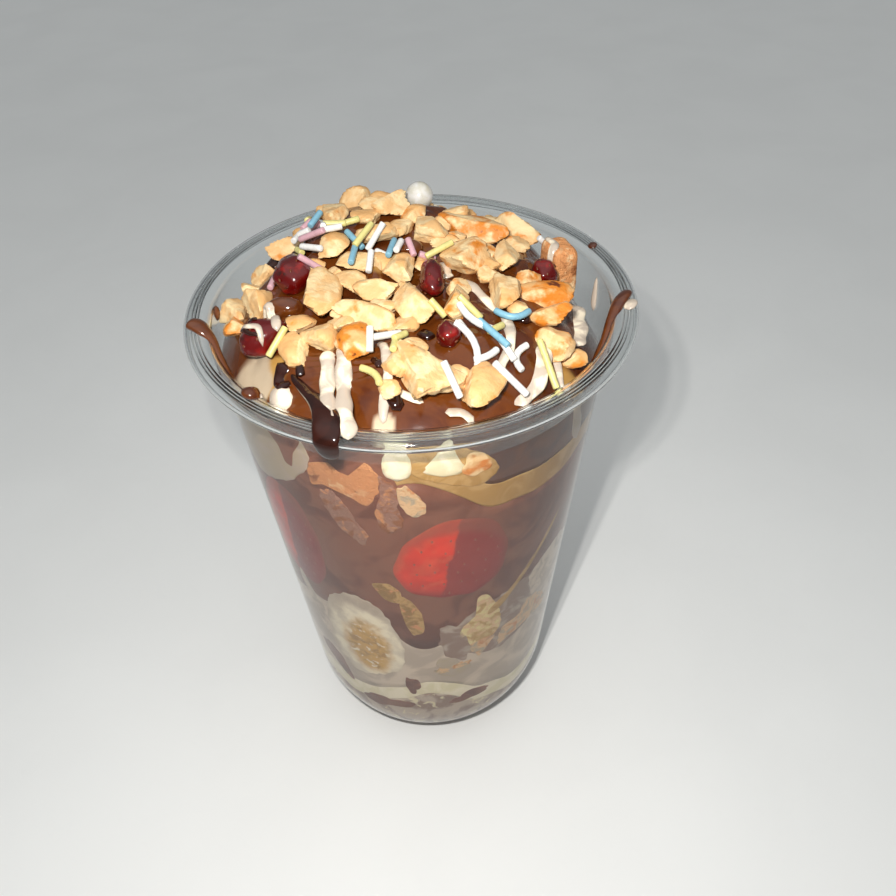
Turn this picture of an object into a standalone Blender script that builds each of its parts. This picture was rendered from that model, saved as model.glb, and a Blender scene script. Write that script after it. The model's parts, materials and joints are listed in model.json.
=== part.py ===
"""Frozen yogurt cup: a clear tumbler filled in layers and heaped with fruit, chopped nuts and sauce.

The tumbler is one thin turned sheet. Its contents are solids stacked on shared wavy boundaries, the
pieces of fruit and biscuit that press against the wall are let into them, and every topping rests on
what lies under it. Lengths are in millimetres and angles in degrees; MM turns them into metres.
The base stands on z = 0, +Z is up, and azimuth 0 is the front (-Y), growing towards +X.
"""

import math

import bpy
import numpy as np
from mathutils import Vector
from mathutils.bvhtree import BVHTree

MM = 0.001

# Tumbler
CUP_HEIGHT = 127.5
RIM_RADIUS = 47.5
WALL = 0.6
WALL_TOP = (42.3, 123.8)
WALL_BOTTOM = (32.5, 19.8)
FOOT_RADIUS = 18.8
FOOT_WIDTH = 2.8
FOOT_RECESS = 1.5
CORNER_FULLNESS = 0.51
FLARE_RADIUS = 1.6
FLARE_STEP = 0.2
CURL_RADIUS = 0.8
CURL_SWEEP = 150.0
CUP_SEGMENTS = 40
BASE_POINTS = 3
CORNER_POINTS = 6
WALL_END_POINTS = 2

# Clearances between neighbours
WALL_GAP = 0.45
LAYER_GAP = 0.35
PIECE_GAP = 0.4

# Contents: heights of each boundary at the wall, at equal steps of azimuth from the front round by +X
CREAM_FLOOR = (28, 22, 18, 22, 27, 25, 20, 22, 27, 25, 21, 23, 27, 24, 20, 23)
CREAM_TOP = (34, 29, 24, 28, 34, 32, 26, 28, 34, 32, 27, 29, 33, 30, 27, 29)
CHOCOLATE_FLOOR = (50, 64, 68, 64, 58, 62, 68, 64, 55, 60, 68, 66, 60, 58, 60, 66)
CARAMEL_FLOOR = (111, 102, 100, 102, 101, 100, 103, 106, 107, 106, 104, 103, 102, 101, 101, 107)
CARAMEL_TOP = (117, 109, 107, 108, 107, 106, 109, 112, 113, 112, 110, 109, 109, 111, 113, 114)
HEAP_EDGE = (
    124.5, 123.5, 120.5, 117, 113.5, 113.5, 120, 121.5, 121.5, 121, 119, 117.5, 118.5, 119.5, 120, 123,
)
LAYER_SEGMENTS = 32
LAYER_RINGS = 3
INNER_BLEND = 1.5

# Heap of sauce-covered yogurt
HEAP_TOP = 131.5
HEAP_SHOULDER = 4.5
HEAP_RADIUS = 40.8
HEAP_RINGS = 5
BACK_PEAK = {"height": 6.0, "x": -10.0, "y": 27.0, "spread": 12.0}
FRONT_SWELL = {"height": 1.0, "x": 2.0, "y": -20.0, "spread": 12.0}

# Pieces against the wall: azimuth, height, width, length, depth, tilt, form, layers they are let into
WALL_PIECES = {
    "strawberry_slice_front": (10.4, 82.5, 28.5, 31, 5, -8, "berry", ("chocolate_layer",)),
    "strawberry_slice_left": (-52, 80, 21, 35, 5, -14, "berry", ("chocolate_layer", "yogurt_layer")),
    "banana_slice_front": (-25, 50.5, 23, 32, 5, 6, "oval", ("yogurt_layer", "chocolate_layer")),
    "caramel_banana_upper": (-12, 73.5, 8, 12, 4, 35, "chunk", ("chocolate_layer",)),
    "caramel_banana_lower": (-1.5, 61, 7.5, 13.5, 4, -10, "chunk", ("chocolate_layer",)),
    "waffle_piece_front": (23, 53, 12, 20, 6, -18, "block", ("yogurt_layer", "chocolate_layer")),
    "biscuit_piece_front": (-17, 106.5, 20, 9, 6, -28, "block", ("chocolate_layer", "caramel_layer", "heap")),
    "nut_wall": (17, 115, 6, 7, 4, 10, "chunk", ("heap",)),
    "strawberry_slice_back": (170, 84, 22, 28, 5, 12, "berry", ("chocolate_layer",)),
    "banana_slice_back": (-150, 50, 22, 30, 5, -10, "oval", ("yogurt_layer", "chocolate_layer")),
    "waffle_piece_back": (110, 84, 14, 18, 6, 15, "block", ("chocolate_layer",)),
}
PIECE_SEGMENTS = 12
CHAMFER = 0.82
FLAT_SHARE = 0.55
CUTTER_REACH = 2.0

# How far each outline departs from a plain oval
OVAL_WAVE = 0.03
BERRY_SIZE = 0.90
BERRY_SHOULDER = 0.14
BERRY_POINT = 0.10
BLOCK_SIZE = 0.9
BLOCK_SQUARENESS = 0.75
CHUNK_SIZE = 0.95
CHUNK_LOBES = (0.12, 0.06)

# Toppings in the order they are laid: x, y, length along x, width along y, height, turn, form
FRUIT = {
    "strawberry_top_back_left": (-24.5, 1.5, 7.5, 10.5, 7, 0, "berry"),
    "strawberry_top_left": (-28.5, -16, 10, 9, 7, 20, "berry"),
    "strawberry_top_middle": (4.6, -3.5, 5, 12, 6, 0, "berry"),
    "strawberry_top_right": (28.5, 6, 5.5, 7, 6, 0, "berry"),
    "strawberry_top_front": (7.5, -22.5, 4.5, 6, 5, 0, "berry"),
    "waffle_block": (32.5, 12.5, 6, 8.5, 13, 20, "block"),
    "chocolate_lump_left": (-25, -9, 7.5, 4.8, 5, 0, "lump"),
    "chocolate_lump_back": (-0.4, 7.5, 6.4, 4.5, 4.5, 0, "lump"),
    "white_drop": (-24.2, -29.8, 5.1, 5.1, 5.2, 0, "lump"),
}
NUTS = (
    (-13, 31, 6.5, 8, 7.5, 0),
    (-16.5, 20, 5, 7, 6, 20),
    (-4, 21.5, 7, 6.5, 6, 0),
    (-7.5, 12, 8, 5.5, 5, -20),
    (-28, 17.5, 7.5, 5, 5.5, 10),
    (-33, 12.5, 5, 5.5, 6, 0),
    (-38, 1, 6, 7.5, 7, 0),
    (-32, -3.5, 5.4, 8, 6.5, 0),
    (-17.2, -8, 6.4, 13, 6, 8),
    (-16, 8.5, 5.2, 7, 6, 0),
    (-6.8, -7, 7.6, 5.5, 5, -25),
    (-8.8, -16, 11, 4.8, 5, -22),
    (0.4, -12, 6.2, 12, 6, 12),
    (-2.4, 0.5, 5.3, 6.5, 5, 0),
    (-10.3, -24, 6, 7, 6, 0),
    (-17, -20.5, 5.7, 6.5, 5.5, 30),
    (-22.1, -22.0, 4.6, 7.6, 5.5, 15),
    (4.5, 14.5, 6, 8, 6, 0),
    (4.2, -31, 9.2, 13, 6.5, 12),
    (13, -34, 7, 9, 6.5, -15),
    (14, 18, 13, 6.5, 6, -28),
    (23.8, 24, 10, 7.5, 7.5, -20),
    (11.5, 4, 8.3, 8, 6.5, -15),
    (9.2, -13, 4.8, 8.5, 5.5, 10),
    (20.5, 6.5, 4.5, 8.5, 5, 0),
    (19, -9, 5.3, 9, 6, -5),
    (26.6, -5, 10.5, 6, 5.5, 8),
    (27.8, -12.3, 7, 6.5, 6.5, 0),
    (27.8, -19.5, 7, 6.5, 6, 15),
)
NUT_SEED = 11
NUT_ROUGHNESS = 0.14
SQUARENESS = {"block": 0.35, "nut": 0.8, "berry": 0.95, "lump": 1.0}
BERRY_TAPER = 0.22
SUNK_SHARE = 0.18
SETTLING_ROUNDS = 2
TOPPING_SEGMENTS = 8
TOPPING_RINGS = 3

# Sugar pearl, resting on the nuts at the back
PEARL = {"x": 1.9, "y": 30.5, "radius": 3.2}

# Dark sauce running over the rim. On the heap: radius, sideways shift, thickness, half width.
# Over the rim: shift, radius and height of its underside, then of its upper side, half width
DRIP_AZIMUTH = -17.5
DRIP_ON_HEAP = ((32.0, -11.5, 1.0, 0.9), (35.4, -8.8, 1.8, 1.3), (38.4, -5.8, 2.4, 1.8))
DRIP_OVER_RIM = (
    (-3.4, 40.6, 127.0, 41.0, 129.4, 2.3),
    (-1.4, 43.6, 127.9, 43.7, 130.2, 2.7),
    (-0.2, 46.5, 127.9, 46.8, 129.9, 2.7),
    (0.2, 48.0, 126.9, 48.9, 128.2, 2.5),
    (0.5, 48.0, 125.6, 49.1, 126.0, 2.2),
    (0.7, 48.0, 124.4, 48.9, 124.4, 1.6),
    (0.8, 48.1, 123.6, 48.6, 123.5, 0.7),
)
DRIP_SECTION = ((0, 0), (0.7, 0), (1, 0.35), (0.72, 0.8), (0, 1), (-0.72, 0.8), (-1, 0.35), (-0.7, 0))

# Colours: base colour, roughness, transmission
LOOKS = {
    "clear_plastic": ((0.86, 0.88, 0.88), 0.08, 0.9),
    "crumb_mix": ((0.48, 0.36, 0.27), 0.5, 0.0),
    "cream": ((0.86, 0.78, 0.60), 0.4, 0.0),
    "yogurt": ((0.76, 0.68, 0.56), 0.45, 0.0),
    "milk_chocolate": ((0.25, 0.10, 0.04), 0.3, 0.0),
    "caramel": ((0.60, 0.38, 0.14), 0.3, 0.0),
    "dark_chocolate": ((0.07, 0.02, 0.012), 0.2, 0.0),
    "white_chocolate": ((0.88, 0.80, 0.68), 0.3, 0.0),
    "strawberry": ((0.42, 0.03, 0.02), 0.3, 0.0),
    "banana": ((0.80, 0.66, 0.42), 0.45, 0.0),
    "waffle": ((0.66, 0.38, 0.14), 0.7, 0.0),
    "nut": ((0.83, 0.60, 0.33), 0.55, 0.0),
    "sugar": ((0.88, 0.84, 0.76), 0.25, 0.0),
}


def clear_scene():
    for found in list(bpy.data.objects):
        bpy.data.objects.remove(found, do_unlink=True)


def make_material(name):
    colour, roughness, transmission = LOOKS[name]
    material = bpy.data.materials.new(name)
    material.use_nodes = True
    shader = material.node_tree.nodes["Principled BSDF"]
    shader.inputs["Base Color"].default_value = (*colour, 1.0)
    shader.inputs["Roughness"].default_value = roughness
    shader.inputs["Transmission Weight"].default_value = transmission
    return material


def make_object(name, points, faces, material):
    """A named mesh object from points in millimetres."""
    mesh = bpy.data.meshes.new(name)
    mesh.from_pydata((np.asarray(points) * MM).tolist(), [], faces)
    mesh.validate()
    mesh.shade_smooth()
    mesh.set_sharp_from_angle(angle=math.radians(40))
    mesh.materials.append(material)
    made = bpy.data.objects.new(name, mesh)
    bpy.context.scene.collection.objects.link(made)
    return made


def closed_faces(rings, segments, top_rings=0):
    """Faces of a solid whose points are one pole, `rings` rings and one more pole, facing out.

    The rings run so that, seen from outside, the first pole is below and azimuth grows to the right.
    The last top_rings bands are split along the other diagonal, so that the underside of a layer and
    the top of the one below it are split alike and keep their gap.
    """
    faces = [(0, 1 + (j + 1) % segments, 1 + j) for j in range(segments)]
    for band in range(rings - 1):
        low = 1 + band * segments
        high = low + segments
        for j in range(segments):
            k = (j + 1) % segments
            if band < rings - top_rings:
                faces += [(low + j, low + k, high + k), (low + j, high + k, high + j)]
            else:
                faces += [(low + j, low + k, high + j), (low + k, high + k, high + j)]
    top = 1 + (rings - 1) * segments
    pole = 1 + rings * segments
    return faces + [(pole, top + j, top + (j + 1) % segments) for j in range(segments)]


def arc(centre, radius, start, end, count):
    angles = np.radians(np.linspace(start, end, count))
    return [(centre[0] + radius * math.cos(a), centre[1] + radius * math.sin(a)) for a in angles]


def bezier(points, count):
    p0, p1, p2, p3 = (np.array(p) for p in points)
    t = np.linspace(0, 1, count)[:, None]
    return (1 - t) ** 3 * p0 + 3 * t * (1 - t) ** 2 * p1 + 3 * t**2 * (1 - t) * p2 + t**3 * p3


def sheet_path():
    """Outer side of the tumbler's sheet as (radius, height), from the axis to the curl's edge."""
    recess_edge = FOOT_RADIUS - FOOT_WIDTH
    base = [(0, FOOT_RECESS), (recess_edge - FOOT_RECESS, FOOT_RECESS), (recess_edge, 0)]
    slope = np.subtract(WALL_TOP, WALL_BOTTOM)
    handle = np.array(WALL_BOTTOM) - slope / slope[1] * WALL_BOTTOM[1] * CORNER_FULLNESS
    reach = FOOT_RADIUS + (WALL_BOTTOM[0] - FOOT_RADIUS) * CORNER_FULLNESS
    corner = bezier(((FOOT_RADIUS, 0), (reach, 0), handle, WALL_BOTTOM), CORNER_POINTS).tolist()
    under_flange = CUP_HEIGHT - WALL
    flare_x = WALL_TOP[0] + FLARE_STEP + FLARE_RADIUS
    flare = arc((flare_x, under_flange - FLARE_RADIUS), FLARE_RADIUS, 180, 90, 3)
    curl_centre = (RIM_RADIUS - WALL - CURL_RADIUS, under_flange - CURL_RADIUS)
    curl = arc(curl_centre, CURL_RADIUS, 90, 90 - CURL_SWEEP, 4)
    return np.array(base + corner + [WALL_TOP] + flare + curl)


def offset_path(path, distance):
    """The path moved to its left, towards the inside, by distance."""
    steps = np.diff(path, axis=0)
    steps /= np.linalg.norm(steps, axis=1)[:, None]
    before = np.vstack([steps[:1], steps])
    after = np.vstack([steps, steps[-1:]])
    normals = np.stack([-(before + after)[:, 1], (before + after)[:, 0]], axis=1)
    normals /= np.linalg.norm(normals, axis=1)[:, None]
    stretch = 1 / np.clip(np.sum(normals * np.stack([-after[:, 1], after[:, 0]], axis=1), axis=1), 0.7, 1)
    moved = path + normals * distance * stretch[:, None]
    moved[0] = (0, path[0, 1] + distance)
    return moved


def make_cup():
    """The sheet's inner side up and its outer side down, turned by a Screw modifier."""
    outer = sheet_path()
    inner = offset_path(outer, WALL)
    profile = np.vstack([inner, outer[::-1]])
    points = [(radius * MM, 0, height * MM) for radius, height in profile]
    mesh = bpy.data.meshes.new("cup")
    mesh.from_pydata(points, [(i, i + 1) for i in range(len(points) - 1)], [])
    mesh.materials.append(make_material("clear_plastic"))
    cup = bpy.data.objects.new("cup", mesh)
    bpy.context.scene.collection.objects.link(cup)
    turn = cup.modifiers.new("Turned", "SCREW")
    turn.axis = "Z"
    turn.angle = math.radians(360)
    turn.steps = turn.render_steps = CUP_SEGMENTS
    turn.use_merge_vertices = True
    turn.merge_threshold = 0.01 * MM
    turn.use_smooth_shade = True
    return cup


def contents_path():
    """Outline of the contents, one wall gap inside the sheet, as far up as the wall goes."""
    path = offset_path(sheet_path(), WALL + WALL_GAP)
    return path[: BASE_POINTS + CORNER_POINTS + WALL_END_POINTS]


def contents_radius(height):
    path = contents_path()[BASE_POINTS:]
    return np.interp(height, path[:, 1], path[:, 0])


def round_heights(values, azimuth):
    """Height at an azimuth in radians, by a closed cubic through equally spaced values."""
    values = np.asarray(values, float)
    place = np.asarray(azimuth) / (2 * math.pi) * len(values)
    whole = np.floor(place).astype(int)
    t = place - whole
    a, b, c, d = (values[(whole + k) % len(values)] for k in (-1, 0, 1, 2))
    slope_b, slope_c = (c - a) / 2, (d - b) / 2
    return (
        b * (1 - t) ** 2 * (1 + 2 * t)
        + c * t**2 * (3 - 2 * t)
        + slope_b * t * (1 - t) ** 2
        - slope_c * t**2 * (1 - t)
    )


def swell(shape, x, y):
    distance = (x - shape["x"]) ** 2 + (y - shape["y"]) ** 2
    return shape["height"] * np.exp(-distance / (2 * shape["spread"] ** 2))


def heap_height(azimuth, share):
    """Top of the heap: its edge at the wall, rising over a round shoulder to the middle."""
    edge = round_heights(HEAP_EDGE, azimuth)
    x = np.sin(azimuth) * share * HEAP_RADIUS
    y = -np.cos(azimuth) * share * HEAP_RADIUS
    dome = edge + (HEAP_TOP - edge) * (1 - share**HEAP_SHOULDER)
    return dome + (swell(BACK_PEAK, x, y) + swell(FRONT_SWELL, x, y)) * (1 - share**6)


def boundary(values):
    """A layer boundary as a function of azimuth and share of the radius, calmer towards the middle."""
    middle = float(np.mean(values))

    def height(azimuth, share):
        return middle + (round_heights(values, azimuth) - middle) * share**INNER_BLEND

    return height


def layer_rings(height, shift, rings, outward):
    """Rings of a layer's top or underside: (ring, segment, xyz), from the middle out or back in."""
    azimuth = np.linspace(0, 2 * math.pi, LAYER_SEGMENTS, endpoint=False)
    shares = np.arange(1, rings + 1) / rings
    if not outward:
        shares = shares[::-1]
    edge = contents_radius(height(azimuth, 1.0) + shift)
    found = []
    for share in shares:
        z = height(azimuth, share) + shift
        radius = edge * share
        found.append(np.stack([radius * np.sin(azimuth), -radius * np.cos(azimuth), z], axis=1))
    return found


def side_rings(low, high, count):
    """Rings between a layer's lower and upper edge that follow the wall."""
    found = []
    for share in np.arange(1, count + 1) / (count + 1):
        z = low[:, 2] + (high[:, 2] - low[:, 2]) * share
        azimuth = np.arctan2(low[:, 0], -low[:, 1])
        radius = contents_radius(z)
        found.append(np.stack([radius * np.sin(azimuth), -radius * np.cos(azimuth), z], axis=1))
    return found


def make_layer(name, look, floor, top, side_count=1, top_rings=LAYER_RINGS):
    """A layer between two boundaries, half a gap clear of each. A floor of None is the cup's own."""
    azimuth = np.linspace(0, 2 * math.pi, LAYER_SEGMENTS, endpoint=False)
    upper = layer_rings(top, -LAYER_GAP / 2, top_rings, outward=False)
    if floor is None:
        path = contents_path()
        rows = path[1:][path[1:, 1] < min(CREAM_FLOOR) - FOOT_RECESS]
        lower = [
            np.stack([r * np.sin(azimuth), -r * np.cos(azimuth), np.full(LAYER_SEGMENTS, z)], axis=1)
            for r, z in rows
        ]
        bottom = (0, 0, path[0, 1])
    else:
        lower = layer_rings(floor, LAYER_GAP / 2, LAYER_RINGS, outward=True)
        bottom = (0, 0, float(floor(0.0, 0.0)) + LAYER_GAP / 2)
    side = side_rings(lower[-1], upper[0], side_count)
    rings = lower + side + upper
    peak = (0, 0, float(top(0.0, 0.0)) - LAYER_GAP / 2)
    points = np.vstack([[bottom], *rings, [peak]])
    faces = closed_faces(len(rings), LAYER_SEGMENTS, top_rings)
    return make_object(name, points, faces, make_material(look))


def make_layers():
    cream_floor, cream_top = boundary(CREAM_FLOOR), boundary(CREAM_TOP)
    chocolate_floor, caramel_floor = boundary(CHOCOLATE_FLOOR), boundary(CARAMEL_FLOOR)
    caramel_top = boundary(CARAMEL_TOP)
    return {
        "base_mix": make_layer("base_mix", "crumb_mix", None, cream_floor),
        "cream_band": make_layer("cream_band", "cream", cream_floor, cream_top),
        "yogurt_layer": make_layer("yogurt_layer", "yogurt", cream_top, chocolate_floor),
        "chocolate_layer": make_layer(
            "chocolate_layer", "milk_chocolate", chocolate_floor, caramel_floor
        ),
        "caramel_layer": make_layer("caramel_layer", "caramel", caramel_floor, caramel_top),
        "heap": make_layer("heap", "milk_chocolate", caramel_top, heap_height, 1, HEAP_RINGS),
    }


def outline(form, angle, seed):
    """Half width of a form as a share of its size, by angle in radians from its right side."""
    if form == "oval":
        return 1 + OVAL_WAVE * np.cos(3 * angle + 1)
    if form == "berry":
        shoulder = BERRY_SHOULDER - BERRY_POINT * np.cos(2 * angle)
        return BERRY_SIZE + shoulder * np.sin(angle)
    if form == "block":
        corner = np.maximum(np.abs(np.cos(angle)), np.abs(np.sin(angle)))
        return BLOCK_SIZE / corner**BLOCK_SQUARENESS
    start = np.random.default_rng(seed).uniform(0, 6)
    return CHUNK_SIZE + CHUNK_LOBES[0] * np.cos(3 * angle + start) + CHUNK_LOBES[1] * np.cos(5 * angle)


def wall_piece_points(row, grow, reach, seed):
    """Points of a piece whose outer face lies on the contents' outline and whose edges are chamfered.

    grow widens and deepens it, and reach carries its outer face past the outline.
    """
    azimuth, height, width, length, depth, tilt, form, _ = row
    angle = np.linspace(0, 2 * math.pi, PIECE_SEGMENTS, endpoint=False)
    size = outline(form, angle, seed)
    along, up = np.cos(angle) * size, np.sin(angle) * size
    turn = math.radians(tilt)
    middle_radius = contents_radius(height)
    rings = []
    outer_share = 1 + (1 - CHAMFER) * reach / depth
    for share, inward in ((0, 0), (FLAT_SHARE, 0), (outer_share, 0), (CHAMFER, 1), (0, 1)):
        half_width, half_length = (width / 2 + grow) * share, (length / 2 + grow) * share
        s = along * half_width * math.cos(turn) - up * half_length * math.sin(turn)
        z = height + along * half_width * math.sin(turn) + up * half_length * math.cos(turn)
        around = math.radians(azimuth) + s / middle_radius
        radius = contents_radius(z) + reach * (1 - inward) - (depth + grow) * inward
        rings.append(np.stack([radius * np.sin(around), -radius * np.cos(around), z], axis=1))
    outer_pole, *middle, inner_pole = rings
    return np.vstack([outer_pole[:1], *middle, inner_pole[:1]])


def wall_piece_faces():
    """Faces of a wall piece, whose first pole faces the wall."""
    return [tuple(reversed(face)) for face in closed_faces(3, PIECE_SEGMENTS)]


def wall_look(name):
    for word, look in (("strawberry", "strawberry"), ("banana", "banana"), ("nut", "nut")):
        if word in name:
            return look
    return "waffle"


def make_wall_pieces(layers):
    """Each piece against the wall, and a slightly larger hidden cutter that lets it into its layers."""
    for seed, (name, row) in enumerate(WALL_PIECES.items()):
        faces = wall_piece_faces()
        make_object(name, wall_piece_points(row, 0, 0, seed), faces, make_material(wall_look(name)))
        points = wall_piece_points(row, PIECE_GAP, CUTTER_REACH, seed)
        cutter = make_object(name + "_cutter", points, faces, make_material(wall_look(name)))
        cutter.hide_render = True
        cutter.display_type = "WIRE"
        for layer_name in row[-1]:
            cut = layers[layer_name].modifiers.new(name, "BOOLEAN")
            cut.operation = "DIFFERENCE"
            cut.object = cutter


class Support:
    """Everything laid so far, as a surface to rest the next topping on."""

    def __init__(self):
        self.trees = []

    def add(self, made):
        points = [tuple(vertex.co / MM) for vertex in made.data.vertices]
        faces = [tuple(face.vertices) for face in made.data.polygons]
        self.trees.append(BVHTree.FromPolygons(points, faces))

    def height(self, x, y):
        hits = (tree.ray_cast(Vector((x, y, 500)), Vector((0, 0, -1)))[0] for tree in self.trees)
        return max((hit.z for hit in hits if hit is not None), default=0.0)


def topping_points(length, width, height, turn, form, seed):
    """Points of a rounded topping about its own middle, widest a little below its middle height.

    The radius is that of a superellipsoid, made uneven by a few seeded waves for a nut.
    """
    rough = np.random.default_rng(NUT_SEED + seed)
    around = np.linspace(0, 2 * math.pi, TOPPING_SEGMENTS, endpoint=False)
    squareness = SQUARENESS[form]
    unevenness = NUT_ROUGHNESS if form == "nut" else 0.0
    rings = []
    for row in range(1, TOPPING_RINGS + 1):
        rise = math.pi * (row / (TOPPING_RINGS + 1) - 0.5)
        rise_cos, rise_sin = math.cos(rise) ** squareness, math.sin(rise)
        rise_sin = math.copysign(abs(rise_sin) ** squareness, rise_sin)
        x = np.sign(np.cos(around)) * np.abs(np.cos(around)) ** squareness * rise_cos
        y = np.sign(np.sin(around)) * np.abs(np.sin(around)) ** squareness * rise_cos
        wave = 1 + unevenness * rough.uniform(-1, 1, TOPPING_SEGMENTS)
        if form == "berry":
            wave = wave * (1 - BERRY_TAPER * y)
        rings.append(np.stack([x * wave, y * wave, np.full(TOPPING_SEGMENTS, rise_sin)], axis=1))
    points = np.vstack([[(0, 0, -1)], *rings, [(0, 0, 1)]]) * (length / 2, width / 2, height / 2)
    angle = math.radians(turn)
    spin = np.array([[math.cos(angle), -math.sin(angle), 0], [math.sin(angle), math.cos(angle), 0], [0, 0, 1]])
    return points @ spin.T


def lay_topping(name, look, row, seed, support):
    """A topping sunk a little into the heap: the points under the surface are lifted onto it."""
    x, y, length, width, height, turn, form = row
    points = topping_points(length, width, height, turn, form, seed)
    rest = support.height(x, y) + height / 2 - SUNK_SHARE * height
    points += (x, y, rest)
    faces = closed_faces(TOPPING_RINGS, TOPPING_SEGMENTS)
    for point in points:
        point[2] = max(point[2], support.height(point[0], point[1]) + PIECE_GAP)
    for _ in range(SETTLING_ROUNDS):
        for face in faces:
            for corner, follower in zip(face, face[1:] + face[:1]):
                middle = (points[corner] + points[follower]) / 2
                short = support.height(middle[0], middle[1]) + PIECE_GAP - middle[2]
                if short > 0:
                    points[[corner, follower], 2] += short
    made = make_object(name, points, faces, make_material(look))
    support.add(made)
    return made


def make_pearl(support):
    """A round sugar pearl, touching down on whatever lies highest under it."""
    radius, x, y = PEARL["radius"], PEARL["x"], PEARL["y"]
    middle = 0.0
    for share in (0, 0.3, 0.6, 0.9):
        reach = radius * share
        hang = math.sqrt(radius**2 - reach**2)
        for angle in np.linspace(0, 2 * math.pi, 12, endpoint=False):
            under = support.height(x + reach * math.cos(angle), y + reach * math.sin(angle))
            middle = max(middle, under + hang + PIECE_GAP)
    bpy.ops.mesh.primitive_ico_sphere_add(subdivisions=2, radius=radius * MM)
    pearl = bpy.context.object
    pearl.name = pearl.data.name = "sugar_pearl"
    pearl.location = (x * MM, y * MM, middle * MM)
    pearl.data.shade_smooth()
    pearl.data.materials.append(make_material("sugar"))


def make_drip(support):
    """Dark sauce over the rim: half-round sections between an underside and an upper side."""
    front = math.radians(DRIP_AZIMUTH)
    out = np.array([math.sin(front), -math.cos(front), 0])
    aside = np.array([math.cos(front), math.sin(front), 0])
    stations = []
    for radius, shift, thickness, half_width in DRIP_ON_HEAP:
        places = [out * radius + aside * (shift + half_width * side) for side in (-1, 0, 1)]
        under = max(support.height(x, y) for x, y, _ in places) + PIECE_GAP
        stations.append((shift, radius, under, radius, under + thickness, half_width))
    stations.extend(DRIP_OVER_RIM)
    rings = []
    for shift, low_radius, low_z, high_radius, high_z, half_width in stations:
        low = out * low_radius + aside * shift + (0, 0, low_z)
        high = out * high_radius + aside * shift + (0, 0, high_z)
        rings.append(np.array([low + (high - low) * h + aside * half_width * w for w, h in DRIP_SECTION]))
    points = np.vstack([[rings[0].mean(axis=0)], *rings, [rings[-1].mean(axis=0)]])
    make_object("dark_drip", points, closed_faces(len(rings), len(DRIP_SECTION)), make_material("dark_chocolate"))


def topping_look(name):
    for word, look in (
        ("strawberry", "strawberry"),
        ("waffle_block", "waffle"),
        ("white", "white_chocolate"),
    ):
        if word in name:
            return look
    return "milk_chocolate"


def main():
    clear_scene()
    make_cup()
    layers = make_layers()
    make_wall_pieces(layers)
    support = Support()
    support.add(layers["heap"])
    make_drip(support)
    for seed, (name, row) in enumerate(FRUIT.items()):
        lay_topping(name, topping_look(name), row, seed, support)
    for number, row in enumerate(NUTS, start=1):
        lay_topping(f"nut_{number:02d}", "nut", (*row, "nut"), 100 + number, support)
    make_pearl(support)


main()
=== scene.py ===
"""Frozen yogurt cup, dressed: a clear tumbler of layered fruit, sauce and biscuit under chopped nuts.

Tables are in millimetres and degrees, and MM turns millimetres into metres. The base stands on z = 0,
+Z is up, and azimuth 0 is the front (-Y), growing towards +X. Nearly every piece is a closed skin: a
grid of points whose rows run from one pole to the other and whose columns run round it.
"""

import json
import math

import bpy
import numpy as np
from mathutils import Matrix, Vector
from mathutils.bvhtree import BVHTree

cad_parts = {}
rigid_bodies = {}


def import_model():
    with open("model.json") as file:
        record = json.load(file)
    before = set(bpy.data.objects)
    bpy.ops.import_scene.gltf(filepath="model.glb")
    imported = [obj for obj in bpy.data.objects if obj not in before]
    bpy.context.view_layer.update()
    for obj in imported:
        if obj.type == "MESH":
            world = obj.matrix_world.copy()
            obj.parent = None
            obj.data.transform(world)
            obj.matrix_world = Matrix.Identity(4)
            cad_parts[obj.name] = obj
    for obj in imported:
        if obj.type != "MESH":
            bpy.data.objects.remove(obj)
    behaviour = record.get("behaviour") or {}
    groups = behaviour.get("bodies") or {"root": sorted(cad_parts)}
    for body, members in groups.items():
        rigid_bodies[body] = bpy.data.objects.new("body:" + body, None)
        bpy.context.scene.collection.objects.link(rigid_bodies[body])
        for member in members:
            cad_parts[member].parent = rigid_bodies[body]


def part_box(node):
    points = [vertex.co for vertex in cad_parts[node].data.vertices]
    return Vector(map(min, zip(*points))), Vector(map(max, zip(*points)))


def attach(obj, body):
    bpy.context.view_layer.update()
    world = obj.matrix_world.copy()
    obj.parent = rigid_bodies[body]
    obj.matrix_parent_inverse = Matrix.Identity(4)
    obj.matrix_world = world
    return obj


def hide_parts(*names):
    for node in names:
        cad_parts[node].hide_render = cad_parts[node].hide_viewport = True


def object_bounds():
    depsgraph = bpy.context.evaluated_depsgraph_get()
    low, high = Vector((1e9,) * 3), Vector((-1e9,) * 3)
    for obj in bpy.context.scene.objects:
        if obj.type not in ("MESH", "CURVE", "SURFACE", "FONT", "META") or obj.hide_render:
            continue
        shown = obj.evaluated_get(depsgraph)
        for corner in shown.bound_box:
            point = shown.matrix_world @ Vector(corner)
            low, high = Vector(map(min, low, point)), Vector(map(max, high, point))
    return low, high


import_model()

bl_info = {
    "name": "Frozen Yogurt Cup",
    "version": (1, 0, 0),
    "blender": (4, 5, 0),
    "location": "View3D > Sidebar > Froyo",
    "description": "Dresses the frame of a filled frozen yogurt cup",
    "category": "Add Mesh",
}

MM = 0.001
CAD_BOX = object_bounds()
HIGHEST = CAD_BOX[1][2] / MM

# Tumbler
SHEET = 0.6
CUP_HEIGHT = 127.5
RIM_RADIUS = 47.5
WALL_TOP = (42.3, 123.8)
WALL_BOTTOM = (32.5, 19.8)
FOOT_RADIUS = 18.8
FOOT_WIDTH = 2.8
FOOT_RECESS = 1.5
CORNER_FULLNESS = 0.51
FLARE_RADIUS = 1.6
FLARE_STEP = 0.2
CURL_RADIUS = 0.8
CURL_SWEEP = 150.0
RIM_GROOVES = 3
RIM_GROOVE_DEPTH = 0.14
CUP_SEGMENTS = 192

# Radius at which an azimuth on the wall is turned into a length and back
WALL_MEAN_RADIUS = 38.0

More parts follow.
